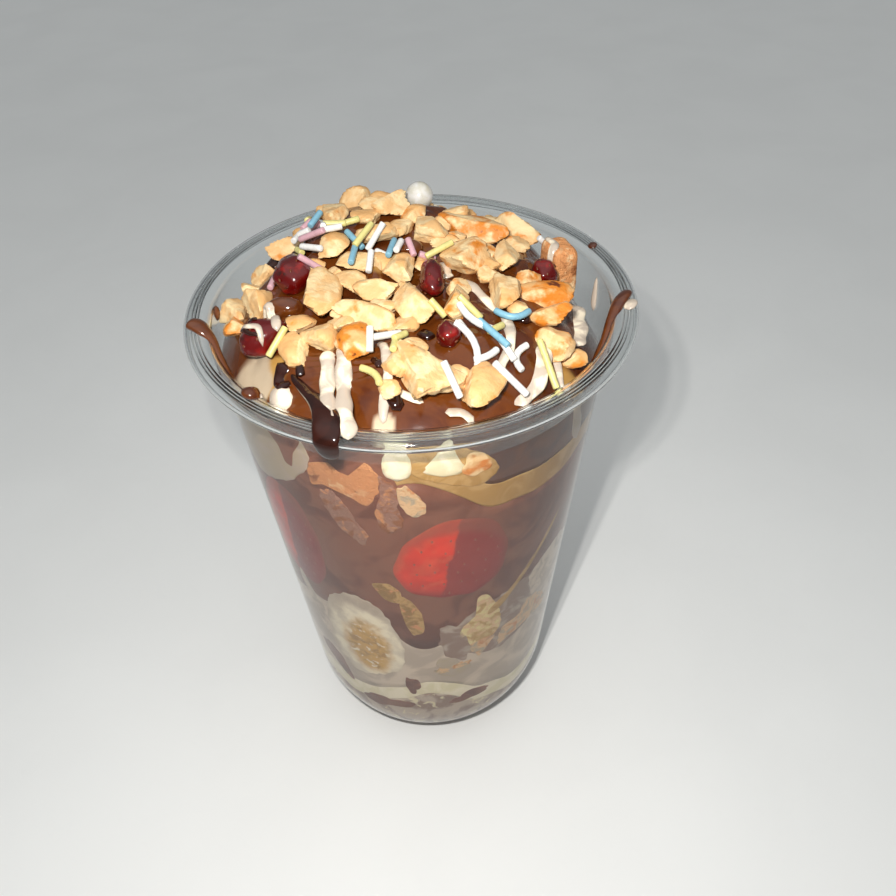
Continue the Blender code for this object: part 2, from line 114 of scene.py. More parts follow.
# How far each kind of filling reaches into the wall, so that no air shows between them
LAYER_REACH = 0.08
UNDER_REACH = 0.12
PIECE_REACH = 0.16
PATCH_REACH = 0.20
SMEAR_REACH = 0.24
CRUMB_REACH = 0.30

# Contents: heights of each boundary at the wall, at equal steps of azimuth from the front round by +X
CREAM_FLOOR = (28, 22, 18, 22, 27, 25, 20, 22, 27, 25, 21, 23, 27, 24, 20, 23)
CREAM_TOP = (34, 29, 24, 28, 34, 32, 26, 28, 34, 32, 27, 29, 33, 30, 27, 29)
CHOCOLATE_FLOOR = (50, 64, 68, 64, 58, 62, 68, 64, 55, 60, 68, 66, 60, 58, 60, 66)
CARAMEL_FLOOR = (111, 102, 100, 102, 101, 100, 103, 106, 107, 106, 104, 103, 102, 101, 101, 107)
CARAMEL_TOP = (117, 109, 107, 108, 107, 106, 109, 112, 113, 112, 110, 109, 109, 111, 113, 114)
HEAP_EDGE = (
    124.5, 123.5, 120.5, 117, 113.5, 113.5, 120, 121.5, 121.5, 121, 119, 117.5, 118.5, 119.5, 120, 123,
)
INNER_BLEND = 1.5
LAYER_SEGMENTS = 192
LAYER_SIDE_ROWS = 12
# How far below the lowest cream the base's rows follow the wall's own
BASE_MARGIN = 4
# Waves on each boundary: count round the cup, height, phase
BOUNDARY_WAVES = ((7, 0.7, 1.3), (13, 0.45, 0.2), (23, 0.25, 2.1))
# Layers from the bottom up: node, slot, look, upper boundary
LAYERS = (
    ("base_mix", "crumb_mix", "base_fill", CREAM_FLOOR),
    ("cream_band", "cream", "cream_fill", CREAM_TOP),
    ("yogurt_layer", "yogurt", "yogurt_fill", CHOCOLATE_FLOOR),
    ("chocolate_layer", "milk_chocolate", "chocolate_fill", CARAMEL_FLOOR),
    ("caramel_layer", "caramel", "caramel_fill", CARAMEL_TOP),
)

# Heap
HEAP_TOP = 131.5
HEAP_SHOULDER = 4.5
HEAP_SEGMENTS = 320
HEAP_RINGS = 110
# Powers of the share of the way out that draw the rings outwards and fade the bumps at the edge
HEAP_RING_POWER = 0.8
HEAP_FADE_POWER = 6
# Unevenness of the heap: size of its features, seed, share
HEAP_RIPPLES = ((9.0, 3, 1.0), (4.5, 4, 0.5), (2.0, 5, 0.12))
# Height above which pools may show, and the height of what lies beside everything
POOL_FLOOR = 118
LAID_FLOOR = 110.0
# Edge of a pool on the heap: share of its spread at which it ends, sharpness, and its raggedness with
# the size of its features and their seed
POOL_LEVEL = 0.35
POOL_SHARPNESS = 5
POOL_RAGGED = (0.18, 5.0, 8)
BACK_PEAK = {"height": 6.0, "x": -10.0, "y": 27.0, "spread": 12.0}
FRONT_SWELL = {"height": 1.0, "x": 2.0, "y": -20.0, "spread": 12.0}

# Lumps under the sauce: x, y, height, spread
LUMPS = (
    (-24, -26, 1.2, 4.0),
    (-5, -34, 0.8, 3.0),
    (22, -27, 1.0, 4.5),
    (13, -22, 0.9, 3.0),
    (7, 11, 1.0, 3.0),
    (-30, 6, 1.2, 3.5),
    (31, -14, 1.2, 3.5),
    (-20, 27, 1.6, 4.5),
    (8, 26, 1.4, 4.5),
    (30, 24, 1.0, 4.0),
    (-21, 15, 2.0, 4.5),
)
# Biscuit finger lying just under the sauce: x, y, half length, half width, rise, ridge spacing
RIDGED_FINGER = (-13.5, -28.5, 10.5, 4.2, 1.0, 1.5)
# Its fade at the ends and the sides, the ridges' share of its rise, and their slant
RIDGE_MARGINS = (0.2, 0.25)
RIDGE_SHARE = 0.2
RIDGE_SLANT = 0.06
# Where cream or caramel shows through the sauce: x, y, spread, share
POOLS = {
    "cream": ((-31.5, -20.5, 3.0, 1.0), (-28.8, -25.5, 1.8, 0.8), (33, 4, 2.6, 0.8), (-4.8, -39.6, 1.6, 0.9)),
    "caramel": ((-26.5, -24.0, 2.6, 1.0), (30.5, -24, 2.6, 0.7), (16, 14, 2.4, 0.6), (-6, 5, 4.0, 0.6)),
}

# Pieces against the wall: azimuth, height, width, length, depth, tilt, form
WALL_BERRIES = {
    "strawberry_slice_front": (10.4, 82.5, 28.5, 31, 5, -8, "berry"),
    "strawberry_slice_left": (-49, 79, 22, 40, 5, -6, "berry"),
    "strawberry_slice_back": (170, 84, 22, 28, 5, 12, "berry"),
}
WALL_BANANAS = {"banana_slice_back": (-150, 50, 22, 30, 5, -10, "oval")}
WALL_BAKES = {"waffle_piece_back": (110, 84, 14, 18, 6, 15, "block")}
WALL_NUTS = {"nut_wall": (17, 115, 6, 7, 4, 10, "chunk")}
WALL_NUT_MARKS = {"rounded": 0.4, "roast": 0.7}
PIECE_SEGMENTS = 72
# Seeds of their uneven edges
BANANA_SEED = 10
SOAKED_SEED = 20
WALL_NUT_SEED = 30
WALL_BAKE_SEED = 40
BISCUIT_SEED = 41
# Strawberry seeds on a slice, as shares of its half size: first, limit and step across and up, shift of
# every other row, random shift across and up, and how near the edge they come
SLICE_SEEDS_ACROSS = (-0.75, 0.8, 0.27)
SLICE_SEEDS_UP = (-0.8, 0.85, 0.24)
SLICE_SEED_STAGGER = 0.13
SLICE_SEED_SHIFT = (0.06, 0.05)
SLICE_SEED_LIMIT = 0.84
SLICE_SEED_RNG = 70
# How far inside a smear's reach a seed's middle lies, and a seed's half width, half thickness and half
# length as shares of its length
SLICE_SEED_DEPTH = 0.12
SEED_SHAPE = (0.3, 0.22, 0.5)

# Cross-section of a wall piece, from its inner middle round its edge to its outer middle:
# share of its half size, share of its depth
PIECE_SECTION = (
    (0, 1), (0.4, 1), (0.75, 0.96), (0.93, 0.78), (1.0, 0.45), (1.0, 0.15), (0.985, 0.04),
    (0.96, 0), (0.85, 0), (0.7, 0), (0.55, 0), (0.4, 0), (0.2, 0), (0, 0),
)

# Fruit on the heap: x, y, length, width, turn. Heights are the nodes' own.
TOP_BERRIES = {
    "strawberry_top_back_left": (-24.5, 1.5, 7.5, 10.5, 0),
    "strawberry_top_left": (-28.5, -16, 10, 9, 20),
    "strawberry_top_middle": (4.6, -3.5, 5, 12, 0),
    "strawberry_top_right": (28.5, 6, 5.5, 7, 0),
    "strawberry_top_front": (7.5, -22.5, 4.5, 6, 0),
}
BERRY_SQUARENESS = 0.92
BERRY_TAPER = 0.22
BERRY_UNEVENNESS = 0.07
BERRY_RIPPLE_SIZE = 1.1
BERRY_RIPPLE_SEED = 60
BERRY_GRID = (40, 60)
BERRY_SEEDS = 22
DIMPLE_SPREAD = 0.75
# Share of a dimple's depth at which its seed sits
BERRY_SEED_SINK = 0.8
# Lumps of sauce: slot, look, seed, then x, y, length, width
LUMPS_ON_TOP = {
    "chocolate_lump_left": ("milk_chocolate", "lump_sauce", 80, (-25, -9, 7.5, 4.8)),
    "chocolate_lump_back": ("milk_chocolate", "lump_sauce", 81, (-0.4, 7.5, 6.4, 4.5)),
    "white_drop": ("white_chocolate", "drop_sauce", 90, (-24.2, -29.8, 5.1, 5.1)),
}
LUMP_UNEVENNESS = 0.04
LUMP_RIPPLE_SIZE = 1.3
LUMP_GRID = (28, 40)
# How much further than its node a lump or a berry reaches into the heap
TOP_SINK = 0.6
WAFFLE_BLOCK = {"x": 32.5, "y": 12.5, "length": 6, "width": 8.5, "turn": 20}
WAFFLE_SQUARENESS = 0.35
WAFFLE_SEED = 95

# Chopped nuts that are nodes, nut_01 first: x, y, length, width, turn, roast
NUTS = (
    (-13, 31, 6.5, 8, 0, 0.2),
    (-16.5, 20, 5, 7, 20, 0.3),
    (-4, 21.5, 7, 6.5, 0, 0.2),
    (-7.5, 12, 8, 5.5, -20, 0.1),
    (-28, 17.5, 7.5, 5, 10, 0.5),
    (-33, 12.5, 5, 5.5, 0, 0.3),
    (-38, 1, 6, 7.5, 0, 0.5),
    (-32, -3.5, 5.4, 8, 0, 0.2),
    (-17.2, -8, 6.4, 13, 8, 0.25),
    (-16, 8.5, 5.2, 7, 0, 0.3),
    (-6.8, -7, 7.6, 5.5, -25, 0.1),
    (-8.8, -16, 11, 4.8, -22, 0.25),
    (0.4, -12, 6.2, 12, 12, 0.2),
    (-2.4, 0.5, 5.3, 6.5, 0, 0.5),
    (-10.3, -24, 6, 7, 0, 0.9),
    (-17, -20.5, 5.7, 6.5, 30, 0.2),
    (-22.1, -22.0, 4.6, 7.6, 15, 0.05),
    (4.5, 14.5, 6, 8, 0, 0.05),
    (4.2, -31, 9.2, 13, 12, 0.35),
    (13, -34, 7, 9, -15, 0.6),
    (14, 18, 13, 6.5, -28, 1.0),
    (23.8, 24, 10, 7.5, -20, 0.6),
    (11.5, 4, 8.3, 8, -15, 0.7),
    (9.2, -13, 4.8, 8.5, 10, 0.8),
    (20.5, 6.5, 4.5, 8.5, 0, 0.15),
    (19, -9, 5.3, 9, -5, 0.15),
    (26.6, -5, 10.5, 6, 8, 0.95),
    (27.8, -12.3, 7, 6.5, 0, 0.9),
    (27.8, -19.5, 7, 6.5, 15, 0.8),
)
# Smaller bits of nut between them: x, y, length, width, height, turn, roast
NUT_BITS = (
    (-2.5, -30, 3.6, 5.0, 3.4, 10, 0.2),
    (-8.0, 22.5, 4.5, 4.0, 3.4, 30, 0.2),
    (-15.5, 1.0, 4.0, 3.4, 3.0, -30, 0.1),
    (-3.4, -35.5, 3.0, 3.2, 2.6, 0, 0.4),
    (16.2, -0.6, 3.4, 3.6, 3.0, 10, 0.1),
    (31.5, -19.5, 5.0, 3.6, 3.2, -20, 0.6),
    (7.4, 9.8, 4.6, 3.6, 3.0, 20, 0.5),
    (9.6, 13.0, 3.6, 3.2, 2.8, 0, 0.2),
    (21.4, -13.0, 3.2, 3.4, 2.6, 0, 0.3),
    (-36.4, -6.0, 4.0, 4.6, 3.4, 0, 0.8),
    (-12.4, -13.0, 4.6, 3.4, 3.0, 40, 0.1),
    (-1.6, -6.0, 4.0, 3.6, 3.0, 0, 0.1),
    (0.6, 20.0, 4.0, 5.0, 3.6, 0, 0.5),
    (-18.5, 26.0, 4.6, 4.2, 3.6, 0, 0.2),
    (10.2, 24.0, 4.0, 3.8, 3.2, 30, 0.4),
    (31.0, 17.0, 3.6, 3.4, 3.0, 0, 0.5),
    (-24.0, 24.0, 4.6, 4.0, 3.4, 20, 0.3),
    (2.0, 31.0, 4.4, 4.0, 3.6, 0, 0.2),
    (-6.5, 28.0, 4.8, 4.6, 4.0, 15, 0.4),
    (18.0, 28.0, 4.2, 4.0, 3.2, 0, 0.2),
    (-12.0, -3.2, 4.8, 5.4, 3.2, 20, 0.1),
    (-11.6, 3.6, 5.4, 4.4, 3.2, -10, 0.2),
    (-5.4, -12.4, 5.0, 4.4, 3.0, 30, 0.1),
    (-5.6, 3.8, 4.4, 4.0, 2.8, 0, 0.3),
    (-21.2, -14.6, 4.2, 4.0, 3.0, 15, 0.2),
    (-13.4, -17.6, 4.6, 4.6, 3.2, -20, 0.3),
    (-20.4, 3.8, 3.6, 4.0, 2.8, 0, 0.1),
    (-1.0, -18.4, 4.2, 3.6, 2.8, 0, 0.2),
    (3.2, 3.6, 3.8, 3.6, 2.6, 40, 0.5),
    (10.0, -6.2, 3.6, 4.6, 2.8, 0, 0.4),
    (15.6, 8.6, 4.4, 3.8, 3.0, 10, 0.6),
    (16.6, 2.4, 4.0, 4.4, 3.0, -15, 0.2),
    (24.4, 0.4, 4.4, 3.4, 2.8, 0, 0.9),
    (23.0, 16.6, 5.0, 4.2, 3.2, -30, 0.5),
    (-9.4, 17.4, 5.0, 4.4, 3.2, 10, 0.1),
    (-2.2, 14.8, 4.2, 4.4, 3.0, 0, 0.3),
    (8.6, 20.4, 5.0, 4.2, 3.2, 15, 0.2),
    (-34.6, 6.6, 3.8, 3.6, 3.0, 0, 0.3),
    (0.8, -26.2, 4.2, 4.0, 3.0, 0, 0.2),
    (9.2, -31.4, 3.8, 4.2, 2.8, 20, 0.3),
    (-27.5, 27.0, 4.4, 4.0, 3.2, 20, 0.3),
    (-22.0, 32.0, 4.8, 4.2, 3.2, -10, 0.5),
    (-15.5, 36.2, 4.4, 4.6, 3.0, 30, 0.2),
    (-8.0, 37.0, 5.0, 3.8, 3.2, 0, 0.7),
    (-2.0, 36.0, 4.2, 4.4, 3.0, 15, 0.3),
    (6.5, 36.4, 4.6, 4.0, 3.2, -25, 0.2),
    (12.0, 32.0, 4.4, 3.8, 3.0, 10, 0.6),
    (17.5, 33.5, 4.0, 4.4, 3.0, 0, 0.3),
    (-19.0, 36.0, 3.4, 3.2, 2.6, 0, 0.8),
    (0.5, 39.0, 3.2, 3.4, 2.4, 0, 0.4),
)
NUT_SEED = 31
BIT_SEED = 91
NUT_SPREAD = 1.28
BIT_SPREAD = 1.45
# How much deeper than its node a nut lies, and how far a bit's middle lies above the heap for its height
NUT_SINK = 0.3
BIT_LIFT = 0.3
# How near its middle a nut may be cut and how far from it, the share and size of each unevenness of its
# faces, and the angle from which an edge is sharp
NUT_CUTS = (0.36, 0.8)
NUT_RIPPLES = ((0.055, 0.9), (0.022, 0.3))
NUT_EDGE = 32
BIT_GRID = (18, 26)

PEARL = {"x": 1.9, "y": 30.5, "radius": 3.2}
PEARL_GRID = (36, 52)

# Dark sauce over the rim: sideways shift, radius and height of its middle, half width, half thickness
DRIP_AZIMUTH = -17.5
DARK_DRIP = (
    (-13.4, 31.0, 128.0, 0.5, 0.4),
    (-12.2, 33.0, 127.8, 0.8, 0.5),
    (-10.4, 34.6, 127.6, 1.0, 0.7),
    (-8.2, 36.4, 127.7, 1.3, 0.9),
    (-5.8, 38.4, 128.1, 1.7, 1.1),
    (-3.4, 40.8, 128.6, 2.2, 1.2),
    (-1.4, 43.6, 129.0, 2.6, 1.15),
    (-0.2, 46.6, 128.9, 2.65, 1.0),
    (0.2, 48.4, 127.6, 2.45, 0.9),
    (0.5, 48.6, 125.9, 2.2, 0.8),
    (0.7, 48.5, 124.6, 1.7, 0.6),
    (0.8, 48.4, 123.8, 0.8, 0.3),
)

# The drip's section: spacing along it, sharpness of its ends, points round it, fullness underneath
DRIP_STEP = 0.4
DRIP_ENDS = 16.0
DRIP_COLUMNS = 24
DRIP_BASE = 0.8

# Sauce on the flange and running down inside it: azimuth, radius, height, half width, half thickness
RIM_RUNS = {
    "milk_run_left": (
        (-78.5, 46.0, 128.0, 1.2, 0.6),
        (-78, 45.2, 128.3, 2.1, 1.1),
        (-76, 43.8, 128.1, 2.0, 1.0),
        (-73, 42.2, 126.6, 1.2, 0.7),
        (-68, 41.6, 124.6, 0.9, 0.6),
        (-62, 41.4, 123.0, 1.0, 0.6),
        (-55, 41.2, 121.8, 1.1, 0.6),
        (-49, 41.0, 120.6, 1.3, 0.7),
        (-46, 40.9, 119.6, 0.7, 0.5),
    ),
    "milk_run_right": (
        (88, 45.6, 128.0, 0.8, 0.4),
        (86, 44.8, 128.2, 1.4, 0.8),
        (82, 43.2, 127.9, 1.5, 0.9),
        (77, 41.9, 126.0, 1.1, 0.7),
        (72, 41.4, 124.0, 1.0, 0.6),
        (66, 41.2, 122.4, 1.2, 0.7),
        (61, 41.0, 121.0, 1.1, 0.6),
        (58, 40.9, 120.2, 0.5, 0.4),
    ),
    "milk_drop_left": (
        (-44, 43.4, 127.9, 0.7, 0.5), (-41.5, 43.8, 128.4, 2.0, 1.2), (-39, 43.4, 128.0, 0.8, 0.5),
    ),
    "milk_fleck_left": (
        (-92, 42.0, 125.6, 0.5, 0.4), (-90, 41.9, 124.4, 1.0, 0.6), (-89, 41.7, 123.0, 0.5, 0.4),
    ),
    "milk_fleck_right": (
        (112, 43.8, 127.9, 0.6, 0.35), (113.5, 44.4, 128.0, 1.1, 0.5), (115, 45.0, 127.9, 0.5, 0.3),
    ),
}
WHITE_RIM_RUNS = {
    "white_under_drop": (
        (-45, 43.0, 127.7, 0.5, 0.3), (-42, 43.0, 127.9, 1.2, 0.5), (-39, 42.8, 127.6, 0.5, 0.3),
    ),
    "white_dab_right": (
        (84, 45.8, 127.9, 0.6, 0.35), (81.5, 45.6, 128.1, 1.5, 0.6), (79, 45.2, 127.9, 0.8, 0.4),
    ),
    "white_edge_left": (
        (-80, 44.9, 127.8, 0.5, 0.3), (-76.5, 44.6, 127.8, 1.0, 0.45), (-73, 43.4, 127.3, 0.5, 0.3),
    ),
    "white_run_wall": (
        (103, 42.0, 125.0, 0.3, 0.3),
        (102, 41.6, 122.5, 0.7, 0.4),
        (101, 41.2, 119.5, 0.9, 0.5),
        (100, 40.9, 117.4, 0.4, 0.3),
    ),
}

# Drizzle lying on the heap: points x, y and, where it bridges a gap, height; then half width and half
# thickness
WHITE_STRANDS = (
    (
        (
            (-15.4, -23.6), (-15.2, -27), (-15.0, -31, 128.4), (-14.9, -35, 128.4), (-14.2, -39.4, 128.5),
            (-13.0, -43.6, 128.9),
        ),
        1.5,
        0.9,
    ),
    (
        (
            (-12.3, -24), (-12.1, -27), (-12.0, -31, 128.4), (-11.9, -35, 128.4), (-11.4, -39.4, 128.5),
            (-10.5, -43.6, 128.7), (-10.4, -46.4, 127.9),
        ),
        1.5,
        0.9,
    ),
    (((-5.6, -22.5), (-4.4, -26), (-3.8, -30), (-3.8, -33), (-4.6, -36.6), (-4.8, -39.4)), 1.0, 0.55),
    (((-3.8, -33.2), (-1.2, -34.8), (2.6, -36.6)), 0.9, 0.5),
    (((10.5, -2), (14, -6.5), (18.4, -13.6), (19.4, -21), (17.4, -27), (15.6, -31)), 1.1, 0.5),
    (((25.5, -20), (25.0, -25), (23.0, -30), (19.4, -34)), 1.9, 0.55),
    (((27.8, -19.8), (28.6, -24.5), (28.6, -28)), 0.9, 0.45),
    (((6.6, 5.6), (7.2, 2.2), (7.8, -0.6)), 1.5, 0.6),
    (((-31.5, -9.6), (-28.2, -9.8), (-26.6, -13), (-25.4, -18.4)), 1.05, 0.6),
    (((-33.8, -13.4), (-31.6, -16.6), (-29.2, -17.8), (-28.2, -20.6)), 0.7, 0.45),
    (((29.6, 15.4), (31.4, 12.0), (30.4, 9.2), (31.2, 7.0)), 0.9, 0.5),
    (((35.0, 1.0, 119.5), (34.6, -4, 120), (34.3, -9.5, 120.5), (33.2, -15.0, 121)), 2.0, 0.6),
    (((3.2, 34.4), (4.6, 33.6), (6.2, 32.6)), 1.8, 1.5),
    (((6.4, -37.8), (9.4, -37.4), (11.6, -38.6)), 1.1, 0.5),
)
DARK_STRANDS = (
    (((-34.6, -11.5), (-31.8, -13.6), (-29.6, -15.2)), 0.6, 0.4),
    (((-33.0, -15.5), (-30.8, -18.6), (-28.6, -19.6)), 0.6, 0.4),
    (((-34.5, 17.5), (-32.0, 20.5), (-28.6, 22.5)), 2.2, 2.0),
    (((-27.8, 10.5), (-24.8, 11.8), (-21.0, 10.4)), 1.4, 0.8),
    (((-6.8, -27.6), (-4.8, -30.4)), 0.8, 0.5),
    (((17.4, -14.4), (20.4, -13.2), (24.0, -14.6)), 1.4, 0.8),
    (((4.0, -20.2), (2.4, -22.2)), 1.6, 0.8),
    (((-3.4, -33.4), (-2.8, -35.6), (-1.6, -37.8)), 1.5, 0.9),
    (((-23.5, -24.0), (-24.6, -27.0), (-23.0, -29.6)), 1.6, 0.5),
    (((-22.6, -22.6), (-20.8, -26.0), (-20.4, -28.4)), 0.8, 0.5),
    (((-8.6, 31.5), (-7.4, 28.2)), 1.2, 0.7),
    (((14.6, 15.2), (17.8, 13.8), (21.6, 13.2)), 1.0, 0.6),
)

# Strands: spacing of their points, how many points share out a height, lift of the middle line as a share
# of the half thickness, and how much they swell and narrow
STRAND_STEP = 0.55
STRAND_TENSION = 7
STRAND_LIFT = 0.35
STRAND_SWELL = 0.13
# Runs on the rim: spacing of their points, and how far their section leans back from the edge
RIM_STEP = 0.6
RIM_LEAN = 0.35

# Sauce, cream and yogurt on the wall: slot, look
SMEARS = {
    "latte": ("cream", "latte_smear"),
    "white_chocolate": ("white_chocolate", "white_smear"),
    "caramel": ("caramel", "caramel_smear"),
    "pale_yogurt": ("yogurt", "yogurt_smear"),
    "milk_chocolate": ("milk_chocolate", "chocolate_smear"),
    # Chocolate on the right of the wall, painted in the greyer tone it shows in shade (painted shade)
    "cocoa": ("milk_chocolate", "cocoa_smear"),
}
# Runs of them: the smear, then azimuth, height and half width of each point
WALL_RUNS = {
    "white_run_front": (
        "white_chocolate",
        ((-3.2, 125, 3.2), (-3.8, 121, 1.6), (-4.0, 118, 2.6), (-4.1, 115, 3.0), (-4.2, 112.6, 1.6)),
    ),
    "white_run_front_right": (
        "white_chocolate",
        ((9.6, 124, 0.8), (9.2, 120.6, 1.2), (8.6, 117.6, 2.4), (8.2, 114.6, 4.0), (7.8, 113.2, 2.2)),
    ),
    "white_run_right": ("latte", ((51, 121, 1.6), (52, 116, 1.5), (54, 111, 1.7), (56, 106, 1.2))),
    "caramel_run_right": (
        "caramel", ((24, 61, 1.8), (31, 65, 1.2), (39, 71, 0.8), (47, 78, 0.8), (54, 85, 0.5)),
    ),
    "caramel_run_back": ("caramel", ((140, 72, 1.4), (150, 66, 1.8), (160, 63, 1.0))),
    "white_run_back": (
        "white_chocolate", ((196, 122, 2.8), (195, 117, 2.2), (194, 112, 2.8), (193, 109, 1.4)),
    ),
    "beige_run_back": ("latte", ((236, 121, 4.6), (240, 114, 4.0), (243, 107, 3.0), (246, 103, 1.4))),
}
# A run's section: spacing along it, points round it, depth, sine of the angle from which it lies flat on
# the wall, how soon its ends reach full width, and how much and how quickly its width wobbles
RUN_STEP = 1.2
RUN_COLUMNS = 16
RUN_DEPTH = 1.2
RUN_FLAT_FROM = 0.45
RUN_TAPER = 9
RUN_WOBBLE = 0.12
RUN_WOBBLE_RATE = 0.7
# Rounder patches of them: the smear, then azimuth, height, width, length, depth, tilt, form
WALL_PATCHES = {
    "cream_patch_left": ("pale_yogurt", (-47, 56, 6, 22, 1.4, 12, "smear")),
    "brown_patch_left": ("milk_chocolate", (-45, 33, 7, 15, 1.4, 22, "smear")),
    "brown_patch_low": ("milk_chocolate", (-21, 21.5, 14, 6, 1.4, 8, "smear")),
    "brown_patch_mid": ("milk_chocolate", (-7, 33, 4, 9, 1.4, 12, "smear")),
    "brown_patch_low_right": ("milk_chocolate", (19, 24.5, 12, 4.5, 1.4, 6, "smear")),
    "brown_patch_back": ("milk_chocolate", (150, 30, 16, 7, 1.4, -8, "smear")),
    "grey_patch_front": ("latte", (10, 41, 9, 10, 1.4, 0, "smear")),
}
# Crumbs pressed against the wall: azimuth, height, width, length, depth, tilt, form
WALL_CRUMBS = (
    (6, 40, 4, 3, 1.4, 0, "crumb"),
    (14, 41.5, 6, 2.6, 1.4, 10, "crumb"),
    (115, 74, 6, 7, 1.6, 0, "crumb"),
    (215, 86, 7, 6, 1.6, 20, "crumb"),
)
# Pieces drawn by their outline on the wall: how far they reach in, depth, raggedness, and corners as
# azimuth, height. The first five stand for nodes.
WALL_OUTLINES = {
    "banana_slice_front": (
        PIECE_REACH, 4.0, 0.25,
        (
            (-37, 66), (-27, 70.5), (-18, 69), (-12, 62.5), (-8, 51), (-10, 41),
            (-19, 36), (-32, 33), (-42, 37), (-43.5, 46), (-42, 56),
        ),
    ),
    "biscuit_piece_front": (
        PIECE_REACH, 4.0, 0.35,
        (
            (-31, 110), (-29.5, 113.5), (-23.5, 115.5), (-20, 113.5), (-16, 113), (-12, 117.5),
            (-9, 114), (-9.5, 109), (-13.5, 104), (-18, 106), (-26, 108), (-30, 107),
        ),
    ),
    "waffle_piece_front": (
        PIECE_REACH, 4.0, 0.4,
        (
            (23, 70), (28, 64), (31, 55), (27.5, 50), (23, 49.5), (18, 49), (13, 55), (14, 58.5),
            (19, 62.5), (19.5, 69.5),
        ),
    ),
    "caramel_banana_upper": (
        PIECE_REACH, 3.0, 0.2, ((-17, 77), (-11, 78), (-7, 75), (-8, 70.5), (-13, 71.5)),
    ),
    "caramel_banana_lower": (
        PIECE_REACH, 3.0, 0.2, ((-8, 73.5), (-4, 72), (-0.5, 66.5), (0, 59), (-4, 57), (-6.5, 61), (-8, 68)),
    ),
    "brown_crumbs": (
        SMEAR_REACH, 1.6, 0.8,
        (
            (-9, 114), (-5, 111), (-3.5, 107.5), (-5, 105), (-3.5, 101), (-4.5, 98),
            (-8.5, 96.5), (-11, 99), (-11.5, 103), (-9.5, 108),
        ),
    ),
    "brown_strip": (
        SMEAR_REACH, 1.6, 0.6,
        (
            (-28.5, 105), (-24.5, 107.5), (-22, 105.5), (-19, 101.5), (-17.5, 98),
            (-15, 95), (-16.5, 90.5), (-20.5, 93), (-24, 95.5), (-27, 100),
        ),
    ),
    "pale_crumbs": (
        CRUMB_REACH, 1.6, 0.8,
        (
            (-4.5, 110.5), (-2.5, 111.5), (0, 109.5), (3, 105.5), (2.5, 102.5), (-1, 101.5), (-3, 103.5),
            (-4.5, 106),
        ),
    ),
    "peach_crumbs": (
        SMEAR_REACH, 1.6, 0.5,
        ((31, 52), (40, 53.5), (43, 58), (54, 54.5), (58, 47), (48, 47.5), (37, 46), (30.5, 45)),
    ),
    "peach_tip": (SMEAR_REACH, 1.6, 0.5, ((28, 50), (22, 43.5), (17.5, 48), (22, 51))),
    "beige_left": (
        SMEAR_REACH, 1.4, 0.2,
        (
            (-68, 113), (-62, 103), (-57, 99), (-48, 101), (-38, 105), (-30, 111.5),
            (-28.5, 116), (-32, 120), (-45, 122), (-62, 121),
        ),
    ),
    "brown_wedge": (
        CRUMB_REACH, 1.2, 0.1,
        (
            (-49, 121.5), (-43, 118), (-39.5, 114.8), (-38.5, 110.5), (-36, 110), (-34, 114.5),
            (-31, 118), (-31, 121),
        ),
    ),
    "brown_left": (
        UNDER_REACH, 1.2, 0.2,
        (
            (-82, 101), (-80, 117), (-60, 118), (-40, 119), (-20, 120), (-6, 120.5),
            (-4, 112), (-8, 101), (-30, 99), (-55, 98),
        ),
    ),
    # Chocolate painted in its greyer shaded tone (painted shade)
    "brown_right": (
        UNDER_REACH, 1.2, 0.3,
        (
            (4, 54), (14, 47), (22, 44.5), (31, 43), (44, 46), (56, 50),
            (66, 52), (60, 63), (48, 69), (30, 67), (18, 64),
        ),
    ),
    # More of the same chocolate in its painted shaded tone
    "shaded_chocolate_block": (PIECE_REACH, 1.4, 0.4, ((5.5, 59.5), (11.5, 60), (17, 52), (16, 43.5), (7.5, 47))),
    "whitish_right": (
        PIECE_REACH, 1.4, 0.3,
        ((42, 67), (48, 71), (60, 73), (72, 67), (68, 56), (60, 49), (50, 52), (45, 59)),
    ),
    "caramel_top": (
        PIECE_REACH, 1.4, 0.2,
        ((-4, 119.5), (2, 121), (12, 120.5), (20, 117), (24, 112), (18, 108.5), (8, 111), (0, 114)),
    ),
}
# Which of them each smear takes in
SMEAR_OUTLINES = {
    "milk_chocolate": ("brown_wedge", "brown_left"),
    # The chocolate on the right is painted in the greyer tone it shows in shade
    "cocoa": ("brown_right", "shaded_chocolate_block"),
    "latte": ("beige_left",),
    "pale_yogurt": ("whitish_right",),
    "caramel": ("caramel_top",),
}
SMEAR_SEED = 60
# Which nodes and crumbs are pieces of biscuit, with their looks
BISCUIT_OUTLINES = {"biscuit_piece_front": "side_biscuit", "waffle_piece_front": "side_waffle"}
CRUMB_OUTLINES = {
    "brown_crumb": ("brown_crumbs", "brown_strip"),
    "pale_crumb": ("pale_crumbs", "peach_crumbs", "peach_tip"),
}
CRUMB_SEED = 50
OUTLINE_SEGMENTS = 96
OUTLINE_ROWS = 26
OUTLINE_ROUNDNESS = 0.3
# A ragged edge: size of its features, and its depth as a share of the piece for a raggedness of 1
RAGGED_SIZE = 2.2
RAGGED_DEPTH = 0.09

